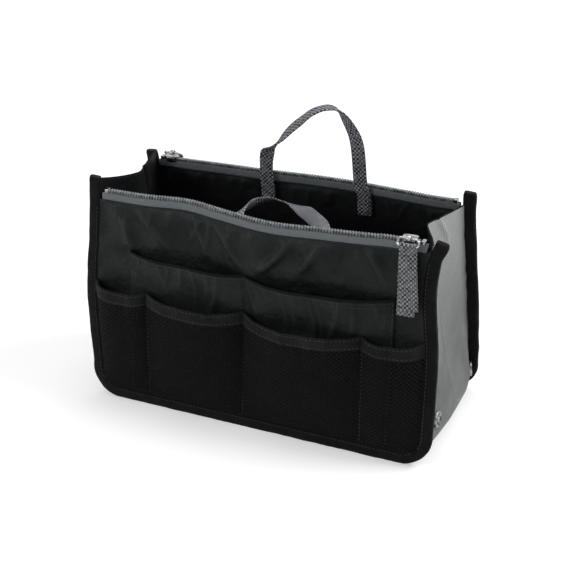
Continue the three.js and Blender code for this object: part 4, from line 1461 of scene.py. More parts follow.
# %% Piping and seams of the nylon pockets
PIPING_RADIUS = 1.0 * MM
MOUTH_STITCH_DROP = 3.4 * MM
SEAM_STITCH_INSET = 1.4 * MM
for side in SIDES:
    x = shares(260, POCKET_SEAMS[0], POCKET_SEAMS[-1])
    mouth = on_pocket(side, x, (piping_low.z + piping_high.z) / 2, -POCKET_THICKNESS / 2)
    up = repeated((0.0, 0.0, 1.0), len(x))
    out = outward_of(side, len(x))
    section = round_section(PIPING_RADIUS, 12)
    piping = strip(f"{side}_pocket_mouth_piping", mouth, up, out, section, [BINDING_TAPE])
    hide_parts(f"{side}_pocket_piping")
    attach(piping, f"{side}_side")
    x = x[3:-3]
    row = on_pocket(side, x, POCKET_MOUTH - MOUTH_STITCH_DROP, 0.0)
    stitch_row(f"{side}_pocket_mouth_stitches", row, outward_of(side, len(x)), f"{side}_side")
    z = shares(60, POCKET_FOOT + 2 * MM, POCKET_MOUTH - MM)
    for number, seam in enumerate(POCKET_SEAMS):
        inward = SEAM_STITCH_INSET * np.sign(MIDDLE_SEAM - seam)
        line = on_pocket(side, seam + inward, z, 0.0)
        name = f"{side}_pocket_seam_stitches_{number + 1}"
        stitch_row(name, line, outward_of(side, len(z)), f"{side}_side")
print("pocket mouths and seams sewn")

# %% [markdown]
# ## Net pockets
#
# A band of net runs the whole length of a side, over the nylon pockets, and five seams part it into four
# pockets. It is a single open layer, so its holes are cut by its material and its folds are in its mesh. It
# always lies outside the nylon behind it. A doubled hem of nylon closes its upper edge with two stitch rows.

# %% Form of the net
net_low, net_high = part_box("front_mesh_panel")
hem_low, hem_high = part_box("front_mesh_hem")
NET_SEAMS = (net_low.x, -88 * MM, MIDDLE_SEAM, 86 * MM, net_high.x)
NET_FOOT = net_low.z - 1.5 * MM
HEM_FOOT = hem_low.z
HEM_TOP = hem_high.z
HEM_THICKNESS = 1.3 * MM
NET_GAP = 0.4 * MM
NET_BULGE = 9.5 * MM
NET_SAG = 2.0 * MM
NET_WRINKLE = 0.7 * MM
NET_WRINKLE_SIZE = 24 * MM
NET_SEEDS = {"front": 97, "back": 98}
NET_END_EASE = 7 * MM
NET_FOOT_EASE = 5 * MM


def net_stand(side, x, z):
    """How far the net stands off the outer sheet."""
    share = np.clip((z - NET_FOOT) / (HEM_TOP - NET_FOOT), 0, 1)
    free = smooth((net_high.x + 1.5 * MM - np.abs(x)) / NET_END_EASE)
    bulge = NET_BULGE * (1 - (1 - share) ** 2.6) * bay(x, NET_SEAMS)
    wrinkle = NET_WRINKLE * (0.5 + 0.5 * rough_noise(x, z, NET_WRINKLE_SIZE, NET_SEEDS[side]))
    over = pocket_stand(side, x, z) + NET_GAP + wrinkle * np.sqrt(bay(x, NET_SEAMS))
    return 0.3 * MM + (over + bulge) * free * smooth((z - NET_FOOT + MM) / NET_FOOT_EASE)


def on_net(side, x, z, proud):
    """Points on the net, a given way proud of it."""
    share = np.clip((z - NET_FOOT) / (HEM_TOP - NET_FOOT), 0, 1)
    sag = NET_SAG * bay(x, NET_SEAMS) * share**3
    return on_side(side, x, z - sag, PANEL_FACE - net_stand(side, x, z) - proud)


print("net rises", round((HEM_FOOT - NET_FOOT) / MM, 1), "mm from its foot to its hem")

# %% Net with its hem and seams
NET_COLUMNS = shares(260, -net_high.x - 0.5 * MM, net_high.x + 0.5 * MM)
HEM_PUFF = 0.25 * MM
HEM_STITCH_INSET = 1.6 * MM
for side in SIDES:
    outward = (0, OUTWARD_Y[side], 0)
    x, z = np.meshgrid(NET_COLUMNS, shares(90, NET_FOOT, HEM_FOOT + 2 * MM))
    net = sheet(f"{side}_net_pockets", on_net(side, x, z, 0.0), 0, [BLACK_NET], outward)
    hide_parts(f"{side}_mesh_panel")
    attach(net, f"{side}_side")
    x, z = np.meshgrid(NET_COLUMNS, shares(9, HEM_FOOT, HEM_TOP))
    puff = HEM_PUFF * np.sin((z - HEM_FOOT) / (HEM_TOP - HEM_FOOT) * math.pi)
    hem = sheet(f"{side}_net_hem", on_net(side, x, z, puff), HEM_THICKNESS, [HEM_NYLON], outward)
    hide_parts(f"{side}_mesh_hem")
    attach(hem, f"{side}_side")
    x = shares(240, -net_high.x + 4 * MM, net_high.x - 4 * MM)
    for label, height in (("lower", HEM_FOOT + HEM_STITCH_INSET), ("upper", HEM_TOP - HEM_STITCH_INSET)):
        row = on_net(side, x, height, HEM_THICKNESS / 2 + 0.1 * MM)
        stitch_row(f"{side}_hem_stitches_{label}", row, outward_of(side, len(x)), f"{side}_side")
    z = shares(60, NET_FOOT + 3 * MM, HEM_TOP - MM)
    for number, seam in enumerate(NET_SEAMS[1:-1]):
        line = on_net(side, seam, z, 0.1 * MM)
        stitch_row(f"{side}_net_seam_stitches_{number + 1}", line, outward_of(side, len(z)), f"{side}_side")
print("net pockets made")

# %% [markdown]
# ## Slider, stops and pull ring
#
# The metal parts are small but they catch the eye. The slider is a rounded saddle that is wider at its open
# end, with two skirts and a bridge. The ring hangs in the bridge, and it is one closed wire.

# %% Rounded metal forms
ROUNDING_STEPS = 5
OUTLINE_POWER = 0.45


def joined(name, parts):
    """One object from several meshes that share a place and their materials."""
    work = bmesh.new()
    for part in parts:
        work.from_mesh(part.data)
    target = parts[0]
    work.to_mesh(target.data)
    work.free()
    for part in parts[1:]:
        mesh = part.data
        bpy.data.objects.remove(part)
        bpy.data.meshes.remove(mesh)
    target.name = name
    return target


def rounded_plate(name, side, centre_x, depth, outline, low, high, round_by, material):
    """Upright solid on a side with a given outline, whose lower and upper edges are rounded."""
    outline = np.array(outline, float)
    half = np.abs(outline).max(axis=0)
    rises = []
    sections = []
    for angle in shares(ROUNDING_STEPS, math.pi / 2, 0):
        rises.append(round_by * (1 - math.sin(angle)))
        sections.append(outline * (half - round_by * (1 - math.cos(angle))) / half)
    z = np.array([low + rise for rise in rises] + [high - rise for rise in rises[::-1]])
    section = np.array(sections + sections[::-1])
    line = on_side(side, centre_x, z, depth)
    along = repeated((HALF_TURN[side], 0.0, 0.0), len(z))
    return strip(name, line, along, outward_of(side, len(z)), section, [material])


def rounded_outline(length, front_width, back_width, count=28, power=OUTLINE_POWER):
    """Outline of a rounded form that is wider at its front end than at its back end."""
    ring = []
    for i in range(count):
        angle = 2 * math.pi * i / count
        c, s = math.cos(angle), math.sin(angle)
        x = length / 2 * math.copysign(abs(c) ** power, c)
        share = smooth(x / length + 0.5)
        width = back_width + (front_width - back_width) * float(share)
        ring.append((x, width / 2 * math.copysign(abs(s) ** power, s)))
    return ring


print("metal helpers ready")

# %% Sliders and stops
slider_low, slider_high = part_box("front_zip_slider")
SLIDER_X = (slider_low.x + slider_high.x) / 2
SLIDER_LENGTH = slider_high.x - slider_low.x
CHAIN_DEPTH = CHAIN_FACE + CHAIN_WIDTH / 2
SLIDER_GAP = 0.35 * MM
SKIRT_WALL = 0.9 * MM
ROOF_THICKNESS = 1.4 * MM
ROOF_FOOT = CHAIN_TOP + SLIDER_GAP
ROOF_TOP = ROOF_FOOT + ROOF_THICKNESS
RING_PIVOT_Y = -42.2 * MM
RING_PIVOT = np.array([SLIDER_X, RING_PIVOT_Y, ROOF_TOP])
SLIDER_TAPER = 0.3 * MM
ROOF_ROUNDING = 0.5 * MM
SKIRT_INSET = 0.9 * MM
SKIRT_STEPS = 9
SKIRT_TRIM = 0.14
BRIDGE_RADIUS = 1.8 * MM
BRIDGE_WIDTH = 3.0 * MM
BRIDGE_THICKNESS = 1.05 * MM
BRIDGE_STEPS = 24


def side_turn(side, points):
    """Points of the front side, turned half round where they are for the back."""
    points = np.asarray(points, float)
    return points if side == "front" else points * np.array([-1, -1, 1])


def skirt_for(side, sign):
    """One skirt of a slider, in front of the teeth or behind them."""
    half_run = SLIDER_LENGTH / 2 - SKIRT_INSET
    x = shares(SKIRT_STEPS, SLIDER_X - half_run, SLIDER_X + half_run)
    depth = CHAIN_DEPTH + sign * (CHAIN_WIDTH / 2 + SLIDER_GAP + SKIRT_WALL / 2)
    line = on_side(side, x, (slider_low.z + ROOF_FOOT) / 2 + 0.2 * MM, depth)
    up = side_turn(side, repeated(unit(np.array([0.0, LEAN, 1.0])), len(x)))
    trim = 1 - SKIRT_TRIM * shares(SKIRT_STEPS, -1, 1) ** 4
    section = flat_section(ROOF_FOOT - slider_low.z + 0.6 * MM, SKIRT_WALL)[None] * trim[:, None, None]
    return strip("skirt", line, up, outward_of(side, len(x)), section, [NICKEL])


def bridge_for(side):
    """Closed band on a slider that the ring hangs in."""
    turns = shares(BRIDGE_STEPS + 1, 0, 2 * math.pi)[:-1]
    spokes = np.stack([turns * 0, np.cos(turns), np.sin(turns)], axis=1)
    loop = RING_PIVOT + BRIDGE_RADIUS * spokes
    along = repeated((1.0, 0.0, 0.0), len(turns))
    return strip(
        "bridge", side_turn(side, loop), side_turn(side, along), side_turn(side, spokes),
        flat_section(BRIDGE_WIDTH, BRIDGE_THICKNESS), [NICKEL], True,
    )


def slider_for(side):
    """Saddle over the teeth, with its bridge for the ring."""
    width = CHAIN_WIDTH + 2 * (SLIDER_GAP + SKIRT_WALL)
    outline = rounded_outline(SLIDER_LENGTH, width + SLIDER_TAPER, width - SLIDER_TAPER)
    roof = rounded_plate(
        "roof", side, SLIDER_X, CHAIN_DEPTH, outline, ROOF_FOOT, ROOF_TOP, ROOF_ROUNDING, NICKEL
    )
    parts = [roof, skirt_for(side, -1), skirt_for(side, 1), bridge_for(side)]
    piece = joined(f"{side}_slider_saddle", parts)
    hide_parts(f"{side}_zip_slider")
    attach(piece, f"{side}_slider")
    return piece


STOP_WIDTH = CHAIN_WIDTH + 0.6 * MM
STOP_ROUNDING = 0.45 * MM
STOP_POWER = 0.35
for side in SIDES:
    slider_for(side)
    for end in ENDS:
        stop_low, stop_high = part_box(f"front_zip_stop_{end}")
        outline = rounded_outline(stop_high.x - stop_low.x, STOP_WIDTH, STOP_WIDTH, 20, STOP_POWER)
        stop = rounded_plate(
            f"{side}_{end}_zip_clamp", side, (stop_low.x + stop_high.x) / 2, CHAIN_DEPTH, outline,
            CHAIN_FOOT, CHAIN_TOP + 0.3 * MM, STOP_ROUNDING, NICKEL,
        )
        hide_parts(f"{side}_zip_stop_{end}")
        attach(stop, f"{side}_side")
print("sliders and stops made")

# %% Pull rings and webbing pulls
WIRE_RADIUS = 0.9 * MM
RING_HALF_WIDTH = 7.4 * MM
RING_DROP = 5.2 * MM
RING_BEND = 1.9 * MM
RING_TILT = math.radians(38)
RING_DOWN = np.array([0, -math.sin(RING_TILT), -math.cos(RING_TILT)])
RING_OUT = np.array([0, -math.cos(RING_TILT), math.sin(RING_TILT)])
RING_BAR = RING_PIVOT + RING_DROP * RING_DOWN
PULL_ANGLE = math.radians(4.5)
PULL_DOWN = np.array([0, -math.sin(PULL_ANGLE), -math.cos(PULL_ANGLE)])
PULL_OUT = np.array([0, -math.cos(PULL_ANGLE), math.sin(PULL_ANGLE)])
PULL_WIDTH = 13 * MM
PULL_LAYER = 1.15 * MM
PULL_LENGTH = 46.4 * MM
PULL_PINCH = 0.07
INNER_LAYER_EXTRA = 4.5 * MM
PULL_LOOP = WIRE_RADIUS + PULL_LAYER / 2 + 0.05 * MM
PULL_GAP = PULL_LAYER / 2 + 0.03 * MM
PULL_STITCH_DROP = 6 * MM
PULL_STITCH_PITCH = 2.2 * MM
# How far the tab hangs aside at its ring, and at the feet of its outer and inner layers
PULL_ASIDE = 0.5 * MM
OUTER_ASIDE = 3.9 * MM
INNER_ASIDE = 1.0 * MM


def ring_for(side):
    """Closed wire ring that stands off from the bridge by its upper bar."""
    corners = (
        (RING_HALF_WIDTH, 0.0, 270), (RING_HALF_WIDTH, RING_DROP, 0),
        (-RING_HALF_WIDTH, RING_DROP, 90), (-RING_HALF_WIDTH, 0.0, 180),
    )
    places = []
    for x, drop, start in corners:
        centre_x = x - math.copysign(RING_BEND, x)
        centre_drop = RING_BEND if drop == 0 else drop - RING_BEND
        for i in range(9):
            angle = math.radians(start + 90 * i / 8)
            c, s = math.cos(angle), math.sin(angle)
            places.append((centre_x + RING_BEND * c, centre_drop + RING_BEND * s, c, s))
    places = np.array(places)
    line = RING_PIVOT + places[:, :1] * np.array([1, 0, 0]) + places[:, 1:2] * RING_DOWN
    radial = places[:, 2:3] * np.array([1, 0, 0]) + places[:, 3:] * RING_DOWN
    normal = repeated(RING_OUT, len(line))
    piece = strip(
        f"{side}_wire_ring", side_turn(side, line), side_turn(side, normal), side_turn(side, radial),
        round_section(WIRE_RADIUS, 16), [NICKEL], True,
    )
    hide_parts(f"{side}_pull_ring")
    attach(piece, f"{side}_pull")


def pull_layer(length, aside, sign):
    """Drop, stand-off and shift aside of one layer of a webbing pull, from its foot up to the ring's bar."""
    drop = shares(40, length, 0)
    share = drop / length
    gap = PULL_GAP + (PULL_LOOP - PULL_LAYER / 2) * smooth(1 - drop / (6 * MM))
    curl = 1.1 * MM * share**2 + 0.5 * MM * np.sin(drop / (9 * MM)) * smooth(drop / (12 * MM))
    off = sign * np.minimum(gap, PULL_LOOP) + curl
    return np.stack([drop, off, PULL_ASIDE + (aside - PULL_ASIDE) * share], axis=1)


def pull_for(side):
    """Webbing that goes up, round the ring's outer bar and down again."""
    turns = shares(13, 0, math.pi)[1:-1]
    aside = np.full(len(turns), PULL_ASIDE)
    over = np.stack([-PULL_LOOP * np.sin(turns), PULL_LOOP * np.cos(turns), aside], axis=1)
    outer = pull_layer(PULL_LENGTH, OUTER_ASIDE, 1)
    inner = pull_layer(PULL_LENGTH + INNER_LAYER_EXTRA, INNER_ASIDE, -1)
    drop, off, aside = np.concatenate([outer, over, inner[::-1]]).T
    across = np.array([1.0, 0.0, 0.0])
    line = RING_BAR + drop[:, None] * PULL_DOWN + off[:, None] * PULL_OUT + aside[:, None] * across
    ahead = unit(np.gradient(line, axis=0))
    width = unit(across - ahead * (ahead @ across)[:, None])
    normal = np.cross(width, ahead)
    waver = 0.02 * rough_noise(drop / (6 * MM), off * 0, 1.0, 5)
    fullness = 1 + waver - PULL_PINCH * smooth(1 - drop / (7 * MM))
    widths = np.stack([fullness, fullness * 0 + 1], axis=1)[:, None]
    section = flat_section(PULL_WIDTH, PULL_LAYER)[None] * widths
    piece = strip(
        f"{side}_webbing_pull", side_turn(side, line), side_turn(side, width), side_turn(side, normal),
        section, [WEBBING],
    )
    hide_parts(f"{side}_pull_tab")
    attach(piece, f"{side}_pull")
    row_x = shares(20, MM - PULL_WIDTH / 2, PULL_WIDTH / 2 - MM) + 1.2 * PULL_ASIDE
    row = RING_BAR + row_x[:, None] * across + PULL_STITCH_DROP * PULL_DOWN
    row = side_turn(side, row + (PULL_LAYER + 0.25 * MM) * PULL_OUT)
    out = side_turn(side, repeated(PULL_OUT, len(row)))
    stitch_row(f"{side}_pull_stitches", row, out, f"{side}_pull", PULL_STITCH_PITCH)


for side in SIDES:
    ring_for(side)
    pull_for(side)
print("pull hangs", round(PULL_LENGTH / MM, 1), "mm below its ring")

# %% [markdown]
# ## Handles
#
# A webbing strap can't bend within its own plane, so a handle twists: it is sewn flat to the lining, turns on
# edge as it leaves the mouth, and shows its face again on the far side. Its path is a smooth line through a
# few places, and each place says which way the strap's width points. The sewn end is doubled and boxed with
# stitches. The strap is one piece.

# %% Strap helper
strap_end_low, strap_end_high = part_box("front_handle_end_left")
STRAP_WIDTH = strap_end_high.x - strap_end_low.x
STRAP_FOOT = strap_end_low.z
STRAP_THICKNESS = 1.4 * MM
STRAP_POINTS = 210
CURVE_STEPS = 16
# Depths of the two layers of a sewn end: the one that is seen, and the hidden one under it
STRAP_INNER = 6.75 * MM
STRAP_UNDER = 5.3 * MM


def curve_through(places, count):
    """Smooth line through a few places, evenly spaced along its first three numbers."""
    places = np.asarray(places, float)
    padded = np.concatenate([[2 * places[0] - places[1]], places, [2 * places[-1] - places[-2]]])
    line = []
    for a, b, c, d in zip(padded, padded[1:], padded[2:], padded[3:]):
        for t in np.arange(CURVE_STEPS) / CURVE_STEPS:
            square = (2 * a - 5 * b + 4 * c - d) * t**2
            cube = (3 * b - a - 3 * c + d) * t**3
            line.append(0.5 * (2 * b + (c - a) * t + square + cube))
    line = np.array(line + [places[-1]])
    run = lengths_along(line[:, :3])
    even = np.linspace(0, run[-1], count)
    return np.stack([np.interp(even, run, line[:, k]) for k in range(line.shape[1])], axis=1)


def foot_places(x, rising):
    """Places of a sewn end, from its hidden end round its foot and up: x, z, depth, width direction."""
    flat = (1, 0, 0) if rising else (-1, 0, 0)
    up = [
        (x, 157.0 * MM, STRAP_UNDER, *flat), (x, 150 * MM, STRAP_UNDER, *flat),
        (x, STRAP_FOOT + 2 * MM, STRAP_UNDER, *flat),
        (x, STRAP_FOOT + 0.8 * MM, (STRAP_UNDER + STRAP_INNER) / 2, *flat),
        (x, STRAP_FOOT + 2 * MM, STRAP_INNER, *flat), (x, 150 * MM, STRAP_INNER, *flat),
        (x, 158 * MM, STRAP_INNER, *flat),
    ]
    return up if rising else up[::-1]


print("strap helper ready")

# %% Straps
# Free run of each strap in its side's own frame: x, z and depth in mm, then the way that its width points
STRAP_RUNS = {
    "front": (
        (-20, 161.5, 8.2, 1, 0, 0), (-20.5, 162.5, 17, 0.8, 0, 0.55), (-21, 161, 34, 0.5, -0.1, 0.85),
        (-18.5, 158.5, 50, 0.6, -0.3, 0.74), (-12, 156, 61, 0.35, -0.75, 0.56), (-2, 155, 64, 0, -0.87, 0.49),
        (8, 155.5, 60, -0.25, -0.9, 0.1), (20, 158, 48, -0.55, -0.62, -0.5),
        (32, 160.5, 33, -0.6, -0.58, -0.55), (43, 162.5, 19, -0.85, -0.4, -0.3), (49, 162, 8.2, -1, 0, 0),
    ),
    "back": (
        (29.5, 164, 7.3, 1, 0, 0), (29.3, 171, 6.6, 1, 0, 0), (28.9, 179, 5.7, 1, 0.15, 0),
        (27, 185.6, 5.0, 0.75, 0.65, 0), (21.8, 190.5, 4.6, 0.05, 1, 0.05),
        (14.8, 197.8, 3.9, -0.28, 0.92, -0.28), (7.9, 205.2, 3.1, -0.36, 0.86, -0.36),
        (-0.5, 212.6, 2.3, -0.33, 0.88, -0.34), (-8, 219, 1.7, -0.2, 0.93, -0.3),
        (-17.8, 223.8, 1.1, 0, 0.98, -0.15), (-25.1, 224.3, 1.0, -0.2, 0.95, 0.1),
        (-30.3, 222.3, 1.2, -0.5, 0.8, 0.33), (-35.5, 216.5, 1.8, -0.8, 0.5, 0.3),
        (-41.4, 207, 2.8, -0.96, 0.25, 0.1), (-44.3, 198, 3.8, -1, 0.05, 0), (-45.6, 186, 5.0, -1, 0, 0),
        (-46.6, 172, 6.6, -1, 0, 0), (-48.2, 164, 7.3, -1, 0, 0),
    ),
}
# Inset and spacing of the box stitches on each sewn strap end
BOX_INSET = 1.8 * MM
BOX_PITCH = 2.6 * MM


def strap_for(side):
    """One webbing handle with its two sewn ends."""
    first, last = STRAP_ENDS[side]
    free = [(x * MM, z * MM, depth * MM, *width) for x, z, depth, *width in STRAP_RUNS[side]]
    path = curve_through(foot_places(first, True) + free + foot_places(last, False), STRAP_POINTS)
    line = on_side(side, path[:, 0], path[:, 1], path[:, 2])
    ahead = unit(np.gradient(line, axis=0))
    width = side_turn(side, path[:, 3:])
    width = unit(width - ahead * (width * ahead).sum(axis=1, keepdims=True))
    normal = np.cross(ahead, width)
    section = flat_section(STRAP_WIDTH, STRAP_THICKNESS)
    piece = strip(f"{side}_webbing_handle", line, width, normal, section, [DARK_WEBBING])
    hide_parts(f"{side}_handle", f"{side}_handle_end_left", f"{side}_handle_end_right")
    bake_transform(piece)
    return piece


def box_stitches(side, label, x):
    """Box of stitches with one diagonal on a sewn strap end."""
    half = STRAP_WIDTH / 2 - BOX_INSET
    left, right = x - half, x + half
    low, high = STRAP_FOOT + 3 * MM, PANEL_TOP - 4 * MM
    corners = ((left, low), (right, low), (right, high), (left, high), (left, low), (right, high))
    line = np.concatenate([
        np.stack([shares(12, a[0], b[0])[:-1], shares(12, a[1], b[1])[:-1]], axis=1)
        for a, b in zip(corners, corners[1:])
    ])
    row = on_side(side, line[:, 0], line[:, 1], STRAP_INNER + STRAP_THICKNESS / 2 + 0.05 * MM)
    inward = -outward_of(side, len(row))
    stitch_row(f"{side}_{label}_handle_stitches", row, inward, f"{side}_side", BOX_PITCH)


for side in SIDES:
    strap = strap_for(side)
    for label, x in zip(("first", "last"), STRAP_ENDS[side]):
        box_stitches(side, label, x)
    print(strap.name, "has", len(strap.data.vertices), "points")

# %% [markdown]
# ## Folding ends
#
# Each end is one strip of twill that is sewn into both sides. It stands straight at the foot and folds inward
# at the top, where the mouth is narrower than the foot. Each half runs from the middle crease to its side at
# the seam. The cloth is cut long, so it hangs slack round the lower corner.

# %% Form of an end
CLOTH_THICKNESS = 0.8 * MM
SEAM_DEPTH = 3.5 * MM
END_MIDDLE_X = GUSSET_FACE - 0.6 * MM
END_CORNER = 24 * MM
END_BEND = 15.6 * MM
END_BEND_X = END_MIDDLE_X - END_BEND
BASE_Z = END_CORNER - END_BEND
FOLD_FOOT = 30 * MM
FOLD_DEPTHS = {"right": 18.5 * MM, "left": 12.5 * MM}
FOLD_SAGS = {"right": 2.2 * MM, "left": -3.2 * MM}
# How far the top edge climbs to its seam
EDGE_CLIMBS = {
    ("right", "front"): 0.0, ("right", "back"): 0.0,
    ("left", "front"): 10 * MM, ("left", "back"): 7 * MM,
}
FOLD_SHARPNESS = 0.07
END_ROWS = 96
END_BEND_ROWS = 14
END_COLUMNS = 46
# Creases of an end: start and end as (share from the middle to the seam, height), width, height, per half
END_CREASES = {
    "front": (
        ((0.25, 158 * MM), (0.9, 96 * MM), 5 * MM, 1.6 * MM),
        ((0.15, 92 * MM), (0.85, 44 * MM), 6 * MM, 1.3 * MM),
    ),
    "back": (
        ((0.2, 170 * MM), (0.5, 136 * MM), 2.6 * MM, 2.4 * MM),
        ((0.2, 84 * MM), (0.9, 48 * MM), 6 * MM, 1.4 * MM),
        ((0.97, 36 * MM), (0.8, 4 * MM), 2.6 * MM, 2.2 * MM),
    ),
}
# The creases are drawn as if the cloth were this wide from its middle to its seam
CREASE_SPAN = 50 * MM
END_SWELL = 0.9 * MM
END_SWELL_SIZE = 28 * MM
SEAM_PUCKER = 0.5 * MM
SEAM_PUCKER_SIZE = 7 * MM
SEAM_PUCKER_REACH = 0.12
# Slack of the cloth round its lower corner: how far out, how far down, how square, and its share at each seam
CORNER_OUT = 4.8 * MM
CORNER_DOWN = 6.6 * MM
CORNER_POWER = 5
SEAM_SLACK = {"front": 0.5, "back": 1.0}
SLACK_RISE = 26 * MM
# Fold that stands out near the back seam: share from the middle, half width, height, reach up and down, out
RIDGE = (0.72, 0.2, 24 * MM, 26 * MM, 2.6 * MM)


def half_width(z):
    """Distance from the middle crease of an end to its seam."""
    return HALF_DEPTH - LEAN * z - SEAM_DEPTH


def end_rows():
    """Middle line of an end's cloth, from its top round the lower corner to the base: place and normal."""
    rows = [(END_MIDDLE_X, z, 1.0, 0.0) for z in shares(END_ROWS, GUSSET_TOP, END_CORNER)]
    for turn in shares(END_BEND_ROWS + 1, 0, -math.pi / 2)[1:]:
        c, s = math.cos(turn), math.sin(turn)
        rows.append((END_BEND_X + END_BEND * c, END_CORNER + END_BEND * s, c, s))
    return np.array(rows)


def corner_slack(side, share, rows):
    """How far the slack cloth of an end bulges out and down round its lower corner."""
    held = 1 + (SEAM_SLACK[side] - 1) * share
    out = END_BEND + CORNER_OUT * held * (1 - share**4)
    down = END_BEND + CORNER_DOWN * held * (1 - share**14)
    outward_part = (rows[:, 2:3] / out) ** CORNER_POWER
    downward_part = (np.abs(rows[:, 3:]) / down) ** CORNER_POWER
    reach = (outward_part + downward_part) ** (-1 / CORNER_POWER)
    above = np.maximum(rows[:, 1:2] - END_CORNER, 0)
    return (reach - END_BEND) * np.exp(-((above / SLACK_RISE) ** 2))


def ridge(side, share, rows):
    """Fold that stands out near the back seam, low on an end."""
    if side == "front":
        return 0.0
    place, half_width_share, height, spread, out = RIDGE
    rise = np.clip((share - place) / half_width_share, -1, 1)
    return out * (1 - np.abs(rise)) ** 1.3 * swell(rows[:, 1:2], height, spread) * smooth(1 + rows[:, 3:])


def end_relief(end, side, share, z):
    """How far the creases, soft swells and seam puckers of an end stand out."""
    across = share * half_width(z)
    free = np.sin(share * math.pi) ** 0.8
    seed = 131 + 7 * SIDES.index(side) + 3 * ENDS.index(end)
    relief = END_SWELL * rough_noise(across, z, END_SWELL_SIZE, seed) * free
    near_seam = np.exp(-(((1 - share) / SEAM_PUCKER_REACH) ** 2))
    pucker = SEAM_PUCKER * rough_noise(across * 0.5, z, SEAM_PUCKER_SIZE, seed + 2) * near_seam
    for start, finish, width, height in END_CREASES[side]:
        low = (start[0] * CREASE_SPAN, start[1])
        high = (finish[0] * CREASE_SPAN, finish[1])
        relief = relief + height * crease(share * CREASE_SPAN, z, low, high, width) * free
    return (relief + pucker) * smooth((z - 8 * MM) / (14 * MM))


def end_points(end, side):
    """Grid of points on one half of an end, from its middle crease to its seam."""
    rows = end_rows()
    share = shares(END_COLUMNS)[None]
    z = rows[:, 1:2]
    rise = np.clip((z - FOLD_FOOT) / (GUSSET_TOP - FOLD_FOOT), 0, 1)
    full = math.hypot(1, FOLD_SHARPNESS) - FOLD_SHARPNESS
    from_crease = (np.sqrt(share**2 + FOLD_SHARPNESS**2) - FOLD_SHARPNESS) / full
    inward = FOLD_DEPTHS[end] * rise**1.15 * (1 - from_crease)
    stand = end_relief(end, side, share, z) - inward
    stand = stand + corner_slack(side, share, rows) + ridge(side, share, rows)
    sag = FOLD_SAGS[end] * (1 - from_crease) * smooth((z - 90 * MM) / (70 * MM))
    sag = sag - EDGE_CLIMBS[end, side] * share**1.4 * smooth((z - 110 * MM) / (55 * MM))
    turn = OUTWARD_X[end]
    drawn = edge_bow(side, turn * HALF_TURN[side], z) * share**2
    x = turn * (rows[:, :1] + rows[:, 2:3] * stand - drawn)
    return np.stack([x, OUTWARD_Y[side] * share * half_width(z), z + rows[:, 3:] * stand - sag], axis=-1)


print("an end is", round(2 * half_width(GUSSET_TOP) / MM, 1), "mm wide at its top")

# %% Ends and their hems
END_HEM_RADIUS = 0.55 * MM
for end in ENDS:
    for side in SIDES:
        points = end_points(end, side)
        piece = sheet(
            f"{end}_{side}_end_cloth", points, CLOTH_THICKNESS, [GREY_TWILL, LINING_NYLON],
            (OUTWARD_X[end], 0, 0),
        )
        leaves = [f"{end}_gusset_{side}"] + ([f"{end}_gusset_middle"] if side == "front" else [])
        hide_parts(*leaves)
        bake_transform(piece)
        edge = points[0]
        up = repeated((0.0, 0.0, 1.0), len(edge))
        out = unit(np.cross(np.gradient(edge, axis=0), up))
        hem = strip(f"{end}_{side}_end_hem", edge, up, out, round_section(END_HEM_RADIUS, 10), [BINDING_TAPE])
        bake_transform(hem)
print("ends made")

# %% Base
BASE_HALF_LENGTH = END_BEND_X
BASE_RELIEF = 0.8 * MM
BASE_RELIEF_SIZE = 40 * MM
BASE_SLACK_REACH = 26 * MM
BASE_SEAM_RADIUS = 0.9 * MM
BASE_SEAM_POINTS = 40
BASE_SEED = 151
base_edge = end_rows()[-1:]
for side in SIDES:
    turn_y = OUTWARD_Y[side]
    x, share = np.meshgrid(shares(120, -BASE_HALF_LENGTH, BASE_HALF_LENGTH), shares(30))
    across = share * half_width(BASE_Z)
    border = smooth((BASE_HALF_LENGTH - np.abs(x)) / (12 * MM)) * np.sin(share * math.pi) ** 0.7
    near_end = smooth(1 - (BASE_HALF_LENGTH - np.abs(x)) / BASE_SLACK_REACH)
    slack = corner_slack(side, share, base_edge) * near_end
    z = BASE_Z - slack + BASE_RELIEF * rough_noise(x, across, BASE_RELIEF_SIZE, BASE_SEED + turn_y) * border
    base = sheet(
        f"{side}_base_cloth", np.stack([x, turn_y * across, z], axis=-1), CLOTH_THICKNESS,
        [BLACK_NYLON, LINING_NYLON], (0, 0, -1),
    )
    leaves = [f"base_{side}"] + (["base_middle"] if side == "front" else [])
    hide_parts(*leaves)
    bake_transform(base)
    for end in ENDS:
        share = shares(BASE_SEAM_POINTS)
        z = BASE_Z - 0.3 * MM - corner_slack(side, share[None], base_edge)[0]
        x = np.full(BASE_SEAM_POINTS, OUTWARD_X[end] * BASE_HALF_LENGTH)
        seam = np.stack([x, turn_y * share * half_width(BASE_Z), z], axis=1)
        up = repeated((0.0, 0.0, 1.0), BASE_SEAM_POINTS)
        along = repeated((1.0, 0.0, 0.0), BASE_SEAM_POINTS)
        section = round_section(BASE_SEAM_RADIUS, 10)
        roll = strip(f"{end}_{side}_base_seam", seam, along, up, section, [BINDING_TAPE])
        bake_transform(roll)
print("base made")

# %% [markdown]
# ## Snaps
#
# A snap low on each outer leaf lets the owner draw an end in. Each is a turned metal form: a rolled rim, a
# groove and a stud, or a socket on the back. A small domed cap closes it inside.

# %% Turned forms
SNAP_STEPS = 40


